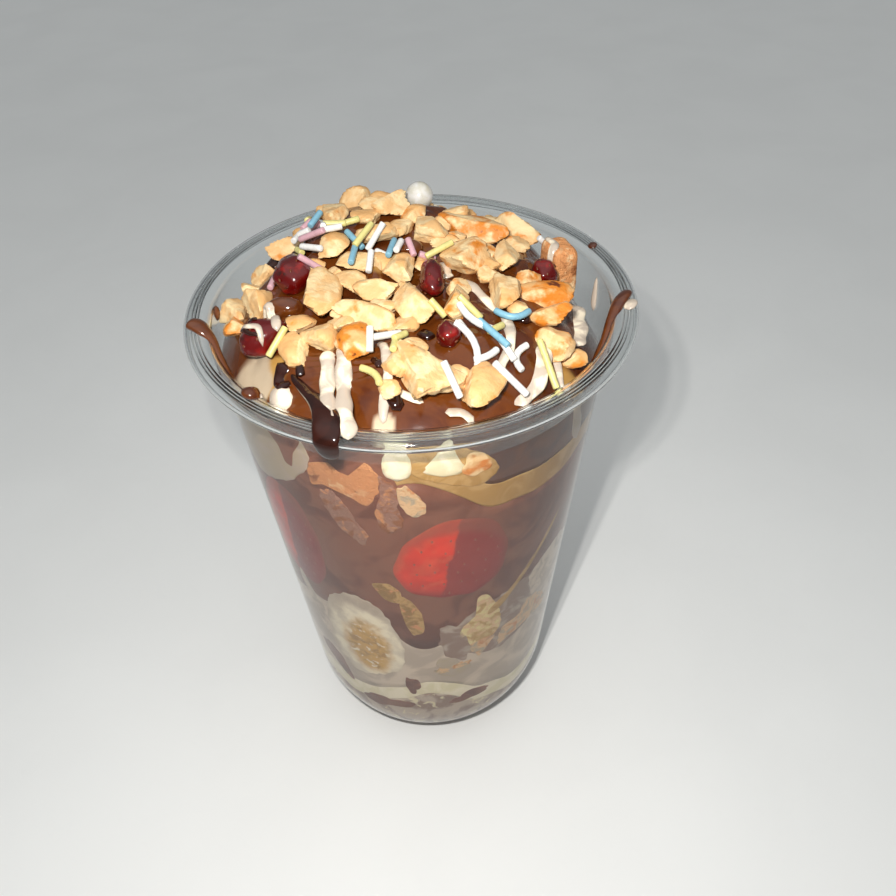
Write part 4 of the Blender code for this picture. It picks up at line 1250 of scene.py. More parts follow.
def chopped(seed, rows=24, columns=34, cuts=7, sharpness=40.0):
    """A chopped nut in a box from -1 to 1: a ball cut by seeded planes, with softly rounded edges.

    In each direction the radius is (ball^p + sum of plane^p)^(-1/p), where a plane's term is the
    direction's share along its normal over its distance. Also gives how much of the ball is left there.
    """
    rough = np.random.default_rng(seed)
    directions = sphere_directions(rows, columns)
    normals = unit(rough.normal(size=(cuts, 3)))
    distances = rough.uniform(*NUT_CUTS, cuts)
    planes = (np.clip(directions @ normals.T, 0, None) / distances) ** sharpness
    total = 1 + planes.sum(axis=-1)
    radius = total ** (-1 / sharpness)
    ragged = 1
    for number, (share, size) in enumerate(NUT_RIPPLES, start=1):
        ragged = ragged + share * ripple(directions, size, seed + number)
    points = directions * (radius * ragged)[..., None]
    low, high = points.min(axis=(0, 1)), points.max(axis=(0, 1))
    return (points - (low + high) / 2) / ((high - low) / 2), 1 / total


def softened_block(seed, squareness, rows=22, columns=32):
    """A superellipsoid in a box from -1 to 1, squarer for a smaller squareness, slightly uneven."""
    directions = sphere_directions(rows, columns)
    points = np.sign(directions) * np.abs(directions) ** squareness
    return points * (1 + 0.02 * ripple(points, 0.7, seed))[..., None]


def seed_places(count, start=0.3):
    """Evenly spread directions on a ball (a golden-angle spiral)."""
    rise = 1 - 2 * (np.arange(count) + 0.5) / count
    around = start + np.arange(count) * math.pi * (3 - math.sqrt(5))
    ring = np.sqrt(1 - rise**2)
    return np.stack([ring * np.cos(around), ring * np.sin(around), rise], axis=1)


def berry_form(directions, size):
    """A slightly squared ellipsoid that narrows towards +Y, more at its sides than in its height."""
    shape = np.sign(directions) * np.abs(directions) ** BERRY_SQUARENESS
    return shape * (1 - BERRY_TAPER * shape[..., 1:2] * (1, 0, 0.4)) * size


def top_berry(row, middle_z, height, seed, dimple):
    """A chunk of strawberry, dimpled round each seed, with the places and directions of its seeds."""
    x, y, length, width, turn = row
    size = np.array([length, width, height]) / 2
    directions = sphere_directions(*BERRY_GRID)
    places = seed_places(BERRY_SEEDS, seed)
    nearest = np.linalg.norm(directions[..., None, :] * size - places * size, axis=-1).min(axis=-1)
    rough = ripple(directions, BERRY_RIPPLE_SIZE, BERRY_RIPPLE_SEED + seed)
    uneven = 1 + BERRY_UNEVENNESS * rough
    hollow = dimple * np.exp(-((nearest / DIMPLE_SPREAD) ** 2))
    points = berry_form(directions, size) * uneven[..., None] - unit(directions / size) * hollow[..., None]
    normals = unit(places / size)
    seeds = berry_form(places, size) - normals * dimple * BERRY_SEED_SINK
    points, seeds = (turn_about_z(rows, turn) + (x, y, middle_z) for rows in (points, seeds))
    return points, seeds, turn_about_z(normals, turn)


def seed_grids(places, normals, length, pointing=(0, 0, 1)):
    """A small pointed seed at each place, lying along the surface."""
    grids = []
    shape = sphere_directions(6, 8) * SEED_SHAPE * length
    for place, normal in zip(places, normals):
        along = np.cross(np.cross(normal, pointing), normal)
        along /= max(np.linalg.norm(along), 1e-6)
        aside = np.cross(along, normal)
        grids.append(place + shape @ np.stack([-aside, normal, along]))
    return grids


# --- What is laid on what -------------------------------------------------------------------------


UNDER_DRIZZLE = (
    "heap_sauce",
    *(name + "_fruit" for name in TOP_BERRIES),
    *(name + "_sauce" for name in LUMPS_ON_TOP),
    "waffle_block_bake",
)
UNDER_NUTS = (*UNDER_DRIZZLE, "white_strands", "dark_strands")
UNDER_SPRINKLES = (*UNDER_NUTS, "chopped_nuts")


class Laid:
    """The named pieces, which must be there already, as something to rest the next piece on."""

    def __init__(self, names):
        self.trees = []
        for name in names:
            mesh = bpy.data.objects[name].data
            points = [tuple(vertex.co / MM) for vertex in mesh.vertices]
            faces = [tuple(face.vertices) for face in mesh.polygons]
            self.trees.append(BVHTree.FromPolygons(points, faces))

    def height(self, x, y):
        hits = (tree.ray_cast(Vector((x, y, 500)), Vector((0, 0, -1)))[0] for tree in self.trees)
        return max((hit.z for hit in hits if hit is not None), default=LAID_FLOOR)


def laid_strand(laid, points, half_width, half_thickness, seed=0):
    """A strand of sauce laid over the surface: its heights follow it with a little tension.

    A point with a third value is a bridge: the strand goes no lower there than that height. Elsewhere a
    height is the larger of its own and of the weighted mean of those round it. The half width swells and
    narrows by a sine along the strand.
    """
    path = spline([row[:2] for row in points], STRAND_STEP)
    bridges = [row[2] if len(row) > 2 else 0.0 for row in points]
    lowest = np.interp(np.linspace(0, len(points) - 1, len(path)), range(len(points)), bridges)
    heights = np.maximum([laid.height(x, y) for x, y in path], lowest)
    kernel = np.hanning(STRAND_TENSION)[1:-1]
    padded = np.pad(heights, len(kernel) // 2, mode="edge")
    heights = np.maximum(heights, np.convolve(padded, kernel / kernel.sum(), mode="valid"))
    path = np.column_stack([path, heights + half_thickness * STRAND_LIFT])
    tangent = np.gradient(path, axis=0)
    side = np.stack([-tangent[:, 1], tangent[:, 0], 0 * tangent[:, 0]], axis=1)
    ends = round_ends(len(path))
    swell = 1 + STRAND_SWELL * np.sin(np.linspace(0, len(path) * STRAND_STEP, len(path)) + seed)
    return carried(path, side, half_width * ends * swell, half_thickness * ends)


def rim_strand(rows):
    """A run of sauce over the flange: an oval section along azimuth, radius, height."""
    rows = np.asarray(rows, float)
    angle = np.radians(rows[:, 0])
    path = np.stack([rows[:, 1] * np.sin(angle), -rows[:, 1] * np.cos(angle), rows[:, 2]], axis=1)
    smooth = spline(np.column_stack([path, rows[:, 3:]]), RIM_STEP)
    path, half_width, half_height = smooth[:, :3], smooth[:, 3], smooth[:, 4]
    around = np.arctan2(path[:, 0], -path[:, 1])
    outward = np.stack([np.sin(around), -np.cos(around), 0 * around], axis=1)
    facing = (0, 0, 1) - outward * RIM_LEAN
    side = np.cross(facing, unit(np.gradient(path, axis=0)))
    ends = round_ends(len(path))
    return carried(path, side, half_width * ends, half_height * ends, flat_base=1.0)


# --- Finishes -------------------------------------------------------------------------------------


def connect(tree, node, inputs):
    for name, value in inputs.items():
        if isinstance(value, bpy.types.NodeSocket):
            tree.links.new(value, node.inputs[name])
        else:
            node.inputs[name].default_value = value
    return node


def add_node(tree, kind, inputs=None, **settings):
    node = tree.nodes.new("ShaderNode" + kind)
    for name, value in settings.items():
        setattr(node, name, value)
    return connect(tree, node, inputs or {})


def smooth_step(tree, value, low, high):
    """0 below low and 1 above high, with an S-shaped rise between them."""
    inputs = {"Value": value, "From Min": low, "From Max": high}
    return add_node(tree, "MapRange", inputs, interpolation_type="SMOOTHSTEP").outputs["Result"]


def mixed_colour(tree, share, first, second):
    """Two colours mixed: all of the first where the share is 0, all of the second where it is 1."""
    node = add_node(tree, "Mix", data_type="RGBA")
    sockets = {socket.identifier: socket for socket in node.inputs}
    for identifier, value in (("Factor_Float", share), ("A_Color", first), ("B_Color", second)):
        if isinstance(value, bpy.types.NodeSocket):
            tree.links.new(value, sockets[identifier])
        else:
            sockets[identifier].default_value = value
    return next(socket for socket in node.outputs if socket.identifier == "Result_Color")


def new_group(name, numbers, output):
    """A node group with a vector, numbers and one output: its tree, its input node and its output node."""
    tree = bpy.data.node_groups.new(name, "ShaderNodeTree")
    tree.interface.new_socket("Vector", in_out="INPUT", socket_type="NodeSocketVector")
    for label, default in numbers.items():
        socket = tree.interface.new_socket(label, in_out="INPUT", socket_type="NodeSocketFloat")
        socket.default_value = default
    tree.interface.new_socket(output, in_out="OUTPUT", socket_type="NodeSocketFloat")
    return tree, tree.nodes.new("NodeGroupInput"), tree.nodes.new("NodeGroupOutput")


def group_noise(tree, given, scale, detail):
    """Noise on a group's own vector, with its scale from the named input."""
    inputs = {"Vector": given.outputs["Vector"], "Scale": given.outputs[scale], "Detail": detail}
    return add_node(tree, "TexNoise", inputs)


def patches_group():
    """Soft-edged patches: noise cut at a level. A higher level leaves less of them."""
    found = bpy.data.node_groups.get("Patches")
    if found:
        return found
    inputs = {"Scale": 200.0, "Level": 0.5, "Softness": 0.06, "Warp": 0.4}
    tree, given, result = new_group("Patches", inputs, "Mask")
    noise = group_noise(tree, given, "Scale", 4.0)
    tree.links.new(given.outputs["Warp"], noise.inputs["Distortion"])
    low = add_node(tree, "Math", operation="SUBTRACT")
    high = add_node(tree, "Math", operation="ADD")
    for node in (low, high):
        tree.links.new(given.outputs["Level"], node.inputs[0])
        tree.links.new(given.outputs["Softness"], node.inputs[1])
    cut = smooth_step(tree, noise.outputs["Fac"], low.outputs[0], high.outputs[0])
    tree.links.new(cut, result.inputs["Mask"])
    return tree


def relief_group():
    """Height of a surface: a coarse unevenness with a share of a fine one."""
    found = bpy.data.node_groups.get("Relief")
    if found:
        return found
    inputs = {"Coarse Scale": 300.0, "Fine Scale": 1500.0, "Fine Share": 0.3}
    tree, given, result = new_group("Relief", inputs, "Height")
    coarse = group_noise(tree, given, "Coarse Scale", 3.0)
    fine = group_noise(tree, given, "Fine Scale", 2.0)
    total = add_node(tree, "Math", operation="MULTIPLY_ADD")
    tree.links.new(fine.outputs["Fac"], total.inputs[0])
    tree.links.new(given.outputs["Fine Share"], total.inputs[1])
    tree.links.new(coarse.outputs["Fac"], total.inputs[2])
    tree.links.new(total.outputs[0], result.inputs["Height"])
    return tree


def per_mm(size):
    """Scale of a noise whose features are about size millimetres across."""
    return 1.0 / (size * MM)


class Finish:
    """A material under construction: its tree, its shader and the colour built up so far."""

    def __init__(self, name, colour, **constants):
        self.material = bpy.data.materials.new(name)
        self.material.use_nodes = True
        self.tree = self.material.node_tree
        self.shader = self.tree.nodes["Principled BSDF"]
        for socket, value in constants.items():
            self.shader.inputs[socket.replace("_", " ")].default_value = value
        self.place = add_node(self.tree, "TexCoord").outputs["Object"]
        self.colour = (*colour, 1.0)

    def patches(self, size, level=0.5, softness=0.06, warp=0.4):
        node = add_node(self.tree, "Group")
        node.node_tree = patches_group()
        inputs = {
            "Vector": self.place, "Scale": per_mm(size), "Level": level, "Softness": softness, "Warp": warp,
        }
        return connect(self.tree, node, inputs).outputs["Mask"]

    def noise(self, size, detail=4.0):
        inputs = {"Vector": self.place, "Scale": per_mm(size), "Detail": detail}
        return add_node(self.tree, "TexNoise", inputs).outputs["Fac"]

    def mark(self, name):
        return add_node(self.tree, "Attribute", attribute_name=name).outputs["Fac"]

    def math(self, operation, first, second=0.5):
        node = add_node(self.tree, "Math", operation=operation, use_clamp=True)
        for socket, value in zip(node.inputs, (first, second)):
            if isinstance(value, bpy.types.NodeSocket):
                self.tree.links.new(value, socket)
            else:
                socket.default_value = value
        return node.outputs[0]

    def ramp(self, value, low, high):
        return smooth_step(self.tree, value, low, high)

    def cover(self, colour, mask):
        """The colour so far, covered by another where the mask is 1."""
        self.colour = mixed_colour(self.tree, mask, self.colour, (*colour, 1.0))
        return self

    def tint(self, colour, mask, share):
        """The colour so far, covered by a share of another where the mask is 1."""
        return self.cover(colour, self.math("MULTIPLY", mask, share))

    def relief(self, coarse, fine, fine_share, depth):
        node = add_node(self.tree, "Group")
        node.node_tree = relief_group()
        inputs = {
            "Vector": self.place, "Coarse Scale": per_mm(coarse), "Fine Scale": per_mm(fine),
            "Fine Share": fine_share,
        }
        height = connect(self.tree, node, inputs).outputs["Height"]
        raised = add_node(self.tree, "Bump", {"Height": height, "Distance": depth * MM, "Strength": 1.0})
        self.tree.links.new(raised.outputs["Normal"], self.shader.inputs["Normal"])
        return self

    def done(self):
        connect(self.tree, self.shader, {"Base Color": self.colour})
        return self.material


def clear_plastic(colours):
    """Clear sheet that lets the lights through to what it holds, with a faint waviness."""
    finish = Finish("clear_plastic", colours.plastic, Roughness=0.03, IOR=1.5, Transmission_Weight=1.0)
    finish.relief(14.0, 3.0, 0.12, 0.05)
    tree = finish.tree
    facing = add_node(tree, "LayerWeight", {"Blend": 0.5}).outputs["Facing"]
    shade = add_node(
        tree, "MapRange", {"Value": facing, "From Min": 0.1, "From Max": 0.75, "To Min": 0.9, "To Max": 0.08}
    )
    passing = add_node(tree, "BsdfTransparent", {"Color": shade.outputs["Result"]})
    path = add_node(tree, "LightPath")
    mixed = add_node(tree, "MixShader", {"Fac": path.outputs["Is Shadow Ray"]})
    tree.links.new(finish.shader.outputs["BSDF"], mixed.inputs[1])
    tree.links.new(passing.outputs["BSDF"], mixed.inputs[2])
    tree.links.new(mixed.outputs["Shader"], tree.nodes["Material Output"].inputs["Surface"])
    return finish.done()


def marbled(colours, name):
    """Filling seen through the wall: swirls of a second colour and flecks of a third."""
    base, swirls, flecks, size, level, roughness = MARBLED[name]
    finish = Finish(name, getattr(colours, base), Roughness=roughness, Specular_IOR_Level=WALL_SPECULAR)
    finish.cover(getattr(colours, swirls), finish.patches(size, level, 0.10, 1.2))
    if flecks:
        finish.cover(getattr(colours, flecks), finish.patches(3.0, 0.62, 0.05, 0.8))
    return finish.relief(3.0, 1.0, 0.2, 0.04).done()


def sauce(colours, name):
    """Glossy sauce: another colour where it lies thick, with a smooth uneven surface."""
    found = bpy.data.materials.get(name)
    if found:
        return found
    base, thick, share, gloss, coat, level = SAUCES[name]
    finish = Finish(
        name, getattr(colours, base),
        Roughness=gloss, Coat_Weight=coat, Coat_Roughness=0.06, Specular_IOR_Level=level,
    )
    finish.cover(tuple(v * share for v in getattr(colours, thick)), finish.patches(5.0, 0.54, 0.10, 0.8))
    return finish.relief(2.2, 0.7, 0.12, 0.10).done()


def heap_sauce(colours):
    """Sauce over the heap, with cream and caramel showing through where it is marked."""
    gloss = {"Roughness": 0.16, "Coat_Weight": 0.15, "Coat_Roughness": 0.06}
    finish = Finish("heap_sauce", colours.milk_chocolate, **gloss)
    finish.cover(colours.milk_chocolate_dark, finish.patches(8.0, 0.54, 0.10, 0.8))
    finish.cover(colours.caramel, finish.mark("caramel"))
    finish.cover(colours.latte, finish.mark("cream"))
    return finish.relief(2.4, 0.8, 0.12, 0.08).done()


def berry_skin(colours):
    """Skin of a strawberry: lighter patches of flesh and a few smears of dark sauce."""
    gloss = {"Roughness": 0.2, "Coat_Weight": 0.3, "Coat_Roughness": 0.08}
    finish = Finish("berry_skin", colours.strawberry, **gloss)
    finish.cover(colours.strawberry_light, finish.patches(3.0, 0.60, 0.10))
    finish.cover(colours.dark_chocolate, finish.patches(4.0, 0.66, 0.06))
    return finish.relief(1.4, 0.5, 0.2, 0.08).done()


def side_berry(colours):
    """Strawberry pressed on the wall: its cut flesh to the left and top painted brighter where lit, skin with
    a dark rim beyond it.
    """
    finish = Finish("side_berry", colours.strawberry_side, Roughness=0.35, Specular_IOR_Level=WALL_SPECULAR)
    piece = add_node(finish.tree, "UVMap", uv_map="Piece").outputs["UV"]
    apart = add_node(finish.tree, "SeparateXYZ", {"Vector": piece})
    wavy = finish.math("ADD", apart.outputs["X"], finish.math("MULTIPLY", finish.noise(5.0, 3.0), 0.12))
    left = finish.math("SUBTRACT", 1.0, finish.ramp(wavy, 0.52, 0.55))
    centred = add_node(finish.tree, "VectorMath", {0: piece, 1: (0.5, 0.5, 0.0)}, operation="DISTANCE")
    rim = finish.ramp(centred.outputs["Value"], 0.36, 0.47)
    # Painted light: the cut flesh is made brightest on the left and top of the slice, where it is lit
    lit = finish.math("MULTIPLY", left, finish.ramp(apart.outputs["Y"], 0.12, 0.4))
    finish.cover(colours.strawberry_cut_lit, lit)
    finish.tint(colours.strawberry_light, finish.patches(5.0, 0.52, 0.14), 0.3)
    finish.tint(colours.waffle, finish.math("MULTIPLY", lit, finish.patches(3.0, 0.58, 0.12)), 0.15)
    finish.tint(colours.side_chocolate, rim, 0.55)
    return finish.relief(2.0, 0.7, 0.3, 0.12).done()


def side_banana(colours):
    """Banana slice on the wall: a pale ring, browner in places, round a soft-edged golden core."""
    finish = Finish("side_banana", colours.banana, Roughness=0.45, Specular_IOR_Level=WALL_SPECULAR)
    piece = add_node(finish.tree, "UVMap", uv_map="Piece").outputs["UV"]
    centred = add_node(finish.tree, "VectorMath", {0: piece, 1: (0.55, 0.40, 0.0)}, operation="DISTANCE")
    waved = {0: finish.noise(7.0), 1: 0.30, 2: centred.outputs["Value"]}
    spread = add_node(finish.tree, "Math", waved, operation="MULTIPLY_ADD").outputs[0]
    core = finish.math("SUBTRACT", 1.0, finish.ramp(spread, 0.33, 0.50))
    finish.tint(colours.yogurt_grey, finish.patches(5.0, 0.52, 0.12), 0.5)
    finish.tint(colours.crumb_dark, finish.ramp(spread, 0.56, 0.68), 0.5)
    finish.cover(colours.banana_core, core)
    finish.cover(colours.caramel, finish.math("MULTIPLY", core, finish.patches(2.6, 0.54, 0.10)))
    finish.cover(colours.banana, finish.math("MULTIPLY", core, finish.patches(1.8, 0.62, 0.08)))
    return finish.relief(2.0, 0.7, 0.3, 0.1).done()


def baked(colours, name):
    """Waffle and biscuit: a crust with patches of crumb and of a darker bake."""
    crust, crumb, dark, crumb_level, dark_level = BAKED[name]
    finish = Finish(name, getattr(colours, crust), Roughness=0.75, Specular_IOR_Level=WALL_SPECULAR)
    finish.cover(getattr(colours, crumb), finish.patches(2.6, crumb_level, 0.08, 0.8))
    finish.cover(getattr(colours, dark), finish.patches(4.5, dark_level, 0.06, 1.0))
    return finish.relief(1.0, 0.35, 0.5, 0.5).done()


def nut_finish(colours):
    """Chopped nut: cream cut faces, tan rounded sides, orange where roasted, scraps of brown skin."""
    finish = Finish("nut_finish", colours.nut, Roughness=0.5, Specular_IOR_Level=0.35)
    finish.tint(colours.nut_tan, finish.ramp(finish.mark("rounded"), 0.25, 0.8), 0.75)
    finish.tint(colours.nut_tan, finish.patches(3.0, 0.50, 0.12), 0.7)
    roasted = {0: finish.mark("roast"), 1: 0.30, 2: finish.noise(3.6)}
    warm = add_node(finish.tree, "Math", roasted, operation="MULTIPLY_ADD").outputs[0]
    finish.cover(colours.nut_roast, finish.ramp(warm, 0.68, 0.86))
    finish.cover(colours.nut_skin, finish.ramp(warm, 0.90, 0.98))
    return finish.relief(1.2, 0.4, 0.35, 0.22).done()


def sugar(name, colour, gloss=0.4):
    """Sugar shell with slightly darker patches."""
    finish = Finish(name, colour, Roughness=gloss)
    finish.cover(tuple(v * 0.86 for v in colour), finish.patches(1.2, 0.56, 0.10))
    return finish.relief(0.8, 0.3, 0.3, 0.05).done()


def plain_floor(colours):
    """Table top with large, barely darker patches."""
    finish = Finish("table_top", colours.floor, Roughness=0.6, Specular_IOR_Level=0.2)
    finish.cover(tuple(v * 0.97 for v in colours.floor), finish.patches(60.0, 0.5, 0.2))
    return finish.done()


# --- Operators ------------------------------------------------------------------------------------


def settings(context):
    return context.scene.froyo_sizes, context.scene.froyo_colours


def node_heights(name):
    """Lowest and highest height of a node at rest, in millimetres."""
    low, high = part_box(name)
    return low[2] / MM, high[2] / MM


class FROYO_OT_stage(bpy.types.Operator):
    """Lay the table top and set the lights and the camera"""

    bl_idname = "froyo.stage"
    bl_label = "Stage"

    def execute(self, context):
        _, colours = settings(context)
        half = FLOOR_SIZE / 2 * MM
        corners = [(-half, -half, 0), (half, -half, 0), (half, half, 0), (-half, half, 0)]
        mesh = bpy.data.meshes.new("table_top")
        mesh.from_pydata(corners, [], [(0, 1, 2, 3)])
        mesh.materials.append(plain_floor(colours))
        floor = bpy.data.objects.new("table_top", mesh)
        context.scene.collection.objects.link(floor)
        self.light(context)
        self.aim_camera(context)
        return {"FINISHED"}

    def light(self, context):
        aim = Vector(KEY_LIGHT_AIM) * MM
        for number, shift in enumerate((-0.5, 0.5)):
            data = bpy.data.lights.new(f"key_{number}", "AREA")
            data.shape = "DISK"
            data.size = KEY_LIGHT_SIZE * MM
            data.energy = KEY_LIGHT_WATTS / 2
            data.color = KEY_LIGHT_COLOUR
            key = bpy.data.objects.new(f"key_{number}", data)
            key.location = (Vector(KEY_LIGHT_PLACE) + Vector((shift * KEY_LIGHT_SPACING, 0, 0))) * MM
            key.rotation_euler = (aim - key.location).to_track_quat("-Z", "Y").to_euler()
            key.visible_camera = False
            context.scene.collection.objects.link(key)
        world = bpy.data.worlds.new("soft_room")
        world.use_nodes = True
        tree = world.node_tree
        up = add_node(tree, "SeparateXYZ", {"Vector": add_node(tree, "TexCoord").outputs["Generated"]})
        fade = smooth_step(tree, up.outputs["Z"], *ROOM_FADE)
        colour = mixed_colour(tree, fade, ROOM_LOW, ROOM_HIGH)
        tree.links.new(colour, tree.nodes["Background"].inputs["Color"])
        context.scene.world = world
        context.scene.view_settings.view_transform = "Standard"

    def aim_camera(self, context):
        pitch, roll = math.radians(CAMERA_PITCH), math.radians(CAMERA_ROLL)
        forward = Vector((0, math.cos(pitch), -math.sin(pitch)))
        level, rise = Vector((1, 0, 0)), Vector((0, math.sin(pitch), math.cos(pitch)))
        right = level * math.cos(roll) + rise * math.sin(roll)
        up = rise * math.cos(roll) - level * math.sin(roll)
        data = bpy.data.cameras.new("camera")
        data.lens = CAMERA_LENS
        data.sensor_width = CAMERA_SENSOR
        data.clip_start = 0.01
        camera = bpy.data.objects.new("camera", data)
        turn = Matrix((right, up, -forward)).transposed().to_4x4()
        camera.matrix_world = Matrix.Translation(Vector(CAMERA_PLACE) * MM) @ turn
        context.scene.collection.objects.link(camera)
        context.scene.camera = camera


class FROYO_OT_cup(bpy.types.Operator):
    """Make the clear tumbler: both sides of one thin sheet turned about the axis"""

    bl_idname = "froyo.cup"
    bl_label = "Cup"

    def execute(self, context):
        sizes, colours = settings(context)
        sheet = sizes.sheet / MM
        outer = sheet_path(sheet)
        profile = np.vstack([offset_path(outer, sheet), outer[::-1]])
        # The inner side comes first and runs up, so the rows are turned end for end to face out.
        grid = turned(profile[::-1], CUP_SEGMENTS)
        make_piece("cup_shell", [grid], clear_plastic(colours), ("cup",))
        return {"FINISHED"}


class FROYO_OT_layers(bpy.types.Operator):
    """Fill the cup: base, cream, yogurt, chocolate and caramel, each meeting the next along a wavy line"""

    bl_idname = "froyo.layers"
    bl_label = "Layers"

    def execute(self, context):
        sizes, colours = settings(context)
        sheet = sizes.sheet / MM
        inner = offset_path(sheet_path(sheet), sheet - LAYER_REACH)
        low_rows = inner[1:][inner[1:, 1] < min(CREAM_FLOOR) - BASE_MARGIN]
        floor, floor_middle = turned(low_rows, LAYER_SEGMENTS), FOOT_RECESS + sheet - LAYER_REACH
        for node, slot, look, boundary in LAYERS:
            top, top_middle = layer_sheet(boundary, LAYER_SEGMENTS), np.mean(boundary)
            grid = layer_grid(floor, top, floor_middle, top_middle)
            make_piece(node + "_fill", [grid], marbled(colours, look), (node,))
            floor, floor_middle = top, top_middle
        return {"FINISHED"}


class FROYO_OT_heap(bpy.types.Operator):
    """Heap the yogurt under its sauce"""

    bl_idname = "froyo.heap"
    bl_label = "Heap"

    def execute(self, context):
        sizes, colours = settings(context)
        top = heap_grid(sizes.sauce_relief / MM)
        floor = layer_sheet(CARAMEL_TOP, HEAP_SEGMENTS)
        grid = layer_grid(floor, top, np.mean(CARAMEL_TOP), top[0, :, 2].mean())
        above = grid[..., 2] > POOL_FLOOR
        ragged, size, seed = POOL_RAGGED
        marks = {}
        for mark, pools in POOLS.items():
            share = sum(part * bump(grid[..., 0], grid[..., 1], *place) for *place, part in pools)
            patchy = share * (1 + ragged * ripple(grid, size, seed))
            marks[mark] = [np.clip((patchy - POOL_LEVEL) * POOL_SHARPNESS, 0, 1) * above]
        make_piece("heap_sauce", [grid], heap_sauce(colours), ("heap",), marks=marks)
        return {"FINISHED"}


class FROYO_OT_wall_fruit(bpy.types.Operator):
    """Press slices of strawberry and banana against the wall"""

    bl_idname = "froyo.wall_fruit"
    bl_label = "Fruit Against the Wall"

    def execute(self, context):
        sizes, colours = settings(context)
        berry, banana = side_berry(colours), side_banana(colours)
        soaked, nut = marbled(colours, "caramel_banana_fill"), nut_finish(colours)
        seeds = []
        for seed, (name, row) in enumerate(WALL_BERRIES.items()):
            self.fruit(name, wall_piece(row, PIECE_REACH, seed), berry, "strawberry")
            seeds += self.seeds(row, seed, sizes.seed_length / MM)
        for seed, (name, row) in enumerate(WALL_BANANAS.items()):
            self.fruit(name, wall_piece(row, PIECE_REACH, BANANA_SEED + seed), banana, "banana")
        for name, seed, look, slot in (
            ("banana_slice_front", BANANA_SEED, banana, "banana"),
            ("caramel_banana_upper", SOAKED_SEED, soaked, "caramel_banana"),
            ("caramel_banana_lower", SOAKED_SEED, soaked, "caramel_banana"),
        ):
            self.fruit(name, wall_outline(*WALL_OUTLINES[name], seed), look, slot)
        for seed, (name, row) in enumerate(WALL_NUTS.items()):
            points, _ = wall_piece(row, SMEAR_REACH, WALL_NUT_SEED + seed)
            marks = {mark: [np.full(points.shape[:2], value)] for mark, value in WALL_NUT_MARKS.items()}
            make_piece(name + "_chunk", [points], nut, (name,), marks=marks)
        make_piece("wall_berry_seeds", seeds, sugar("wall_seed", colours.berry_seed))
        return {"FINISHED"}

    def fruit(self, name, shape, material, slot):
        points, piece_map = shape
        make_piece(name + "_fruit", [points], material, (name,), uv=[piece_map])

    def seeds(self, row, seed, length):
        """Seeds flush with the wall, in staggered rows across the slice."""
        rough = np.random.default_rng(SLICE_SEED_RNG + seed)
        shift_along, shift_up = SLICE_SEED_SHIFT
        grids = []
        for u in np.arange(*SLICE_SEEDS_ACROSS):
            for v in np.arange(*SLICE_SEEDS_UP):
                stagger = SLICE_SEED_STAGGER if round(v / SLICE_SEEDS_UP[2]) % 2 else 0
                along = u + rough.uniform(-shift_along, shift_along) + stagger
                up = v + rough.uniform(-shift_up, shift_up)
                edge = outline(row[6], math.atan2(up, along), seed)
                if math.hypot(along, up) > SLICE_SEED_LIMIT * edge:
                    continue
                around, z = tilted(row, along, up)
                normal = np.array([math.sin(around), -math.cos(around), 0])
                place = on_wall(around, z, SLICE_SEED_DEPTH, SMEAR_REACH)
                grids += seed_grids([place], [normal], length)
        return grids


class FROYO_OT_wall_bakes(bpy.types.Operator):
    """Press pieces of waffle and biscuit and their crumbs against the wall"""

    bl_idname = "froyo.wall_bakes"
    bl_label = "Biscuit Against the Wall"

    def execute(self, context):
        _, colours = settings(context)
        looks = {name: baked(colours, name) for name in ("side_biscuit", "side_waffle", *CRUMB_OUTLINES)}
        for seed, (name, row) in enumerate(WALL_BAKES.items()):
            points, _ = wall_piece(row, PIECE_REACH, WALL_BAKE_SEED + seed)
            make_piece(name + "_bake", [points], looks["side_biscuit"], (name,))
        for name, look in BISCUIT_OUTLINES.items():
            points, _ = wall_outline(*WALL_OUTLINES[name], BISCUIT_SEED)
            make_piece(name + "_bake", [points], looks[look], (name,))
        for look, names in CRUMB_OUTLINES.items():
            grids = [wall_outline(*WALL_OUTLINES[name], CRUMB_SEED + n)[0] for n, name in enumerate(names)]
            make_piece("wall_" + names[0], grids, looks[look])
        grids = [wall_piece(row, CRUMB_REACH, CRUMB_SEED + n)[0] for n, row in enumerate(WALL_CRUMBS)]
        make_piece("wall_crumbs", grids, looks["pale_crumb"])
        return {"FINISHED"}


class FROYO_OT_wall_sauce(bpy.types.Operator):
    """Smear sauce, cream and yogurt on the inside of the wall, with one chocolate smear painted in its shaded
    tone
    """

    bl_idname = "froyo.wall_sauce"
    bl_label = "Sauce Against the Wall"

    def execute(self, context):
        _, colours = settings(context)
        for smear, (slot, look) in SMEARS.items():
            patches = [(row, seed) for seed, (kind, row) in enumerate(WALL_PATCHES.values()) if kind == smear]
            grids = [wall_piece(row, PATCH_REACH, seed)[0] for row, seed in patches]
            grids += [wall_run(points, SMEAR_REACH) for kind, points in WALL_RUNS.values() if kind == smear]
            outlines = [WALL_OUTLINES[name] for name in SMEAR_OUTLINES.get(smear, ())]
            grids += [wall_outline(*shape, SMEAR_SEED)[0] for shape in outlines]
            make_piece("wall_" + smear, grids, marbled(colours, look))
        return {"FINISHED"}


class FROYO_OT_top_fruit(bpy.types.Operator):
    """Set the chunks of strawberry in the heap, with their seeds"""

    bl_idname = "froyo.top_fruit"
    bl_label = "Fruit on Top"

    def execute(self, context):
        sizes, colours = settings(context)
        skin, seeds = berry_skin(colours), []
        for number, (name, row) in enumerate(TOP_BERRIES.items()):
            low, high = node_heights(name)
            middle, height = (low + high - TOP_SINK) / 2, high - low + TOP_SINK
            grid, places, normals = top_berry(row, middle, height, number, sizes.berry_dimple / MM)
            make_piece(name + "_fruit", [grid], skin, (name,))
            seeds += seed_grids(places, normals, sizes.seed_length / MM, (0, 1, 0.2))
        make_piece("top_berry_seeds", seeds, sugar("top_seed", colours.nut_skin, 0.35))
        return {"FINISHED"}


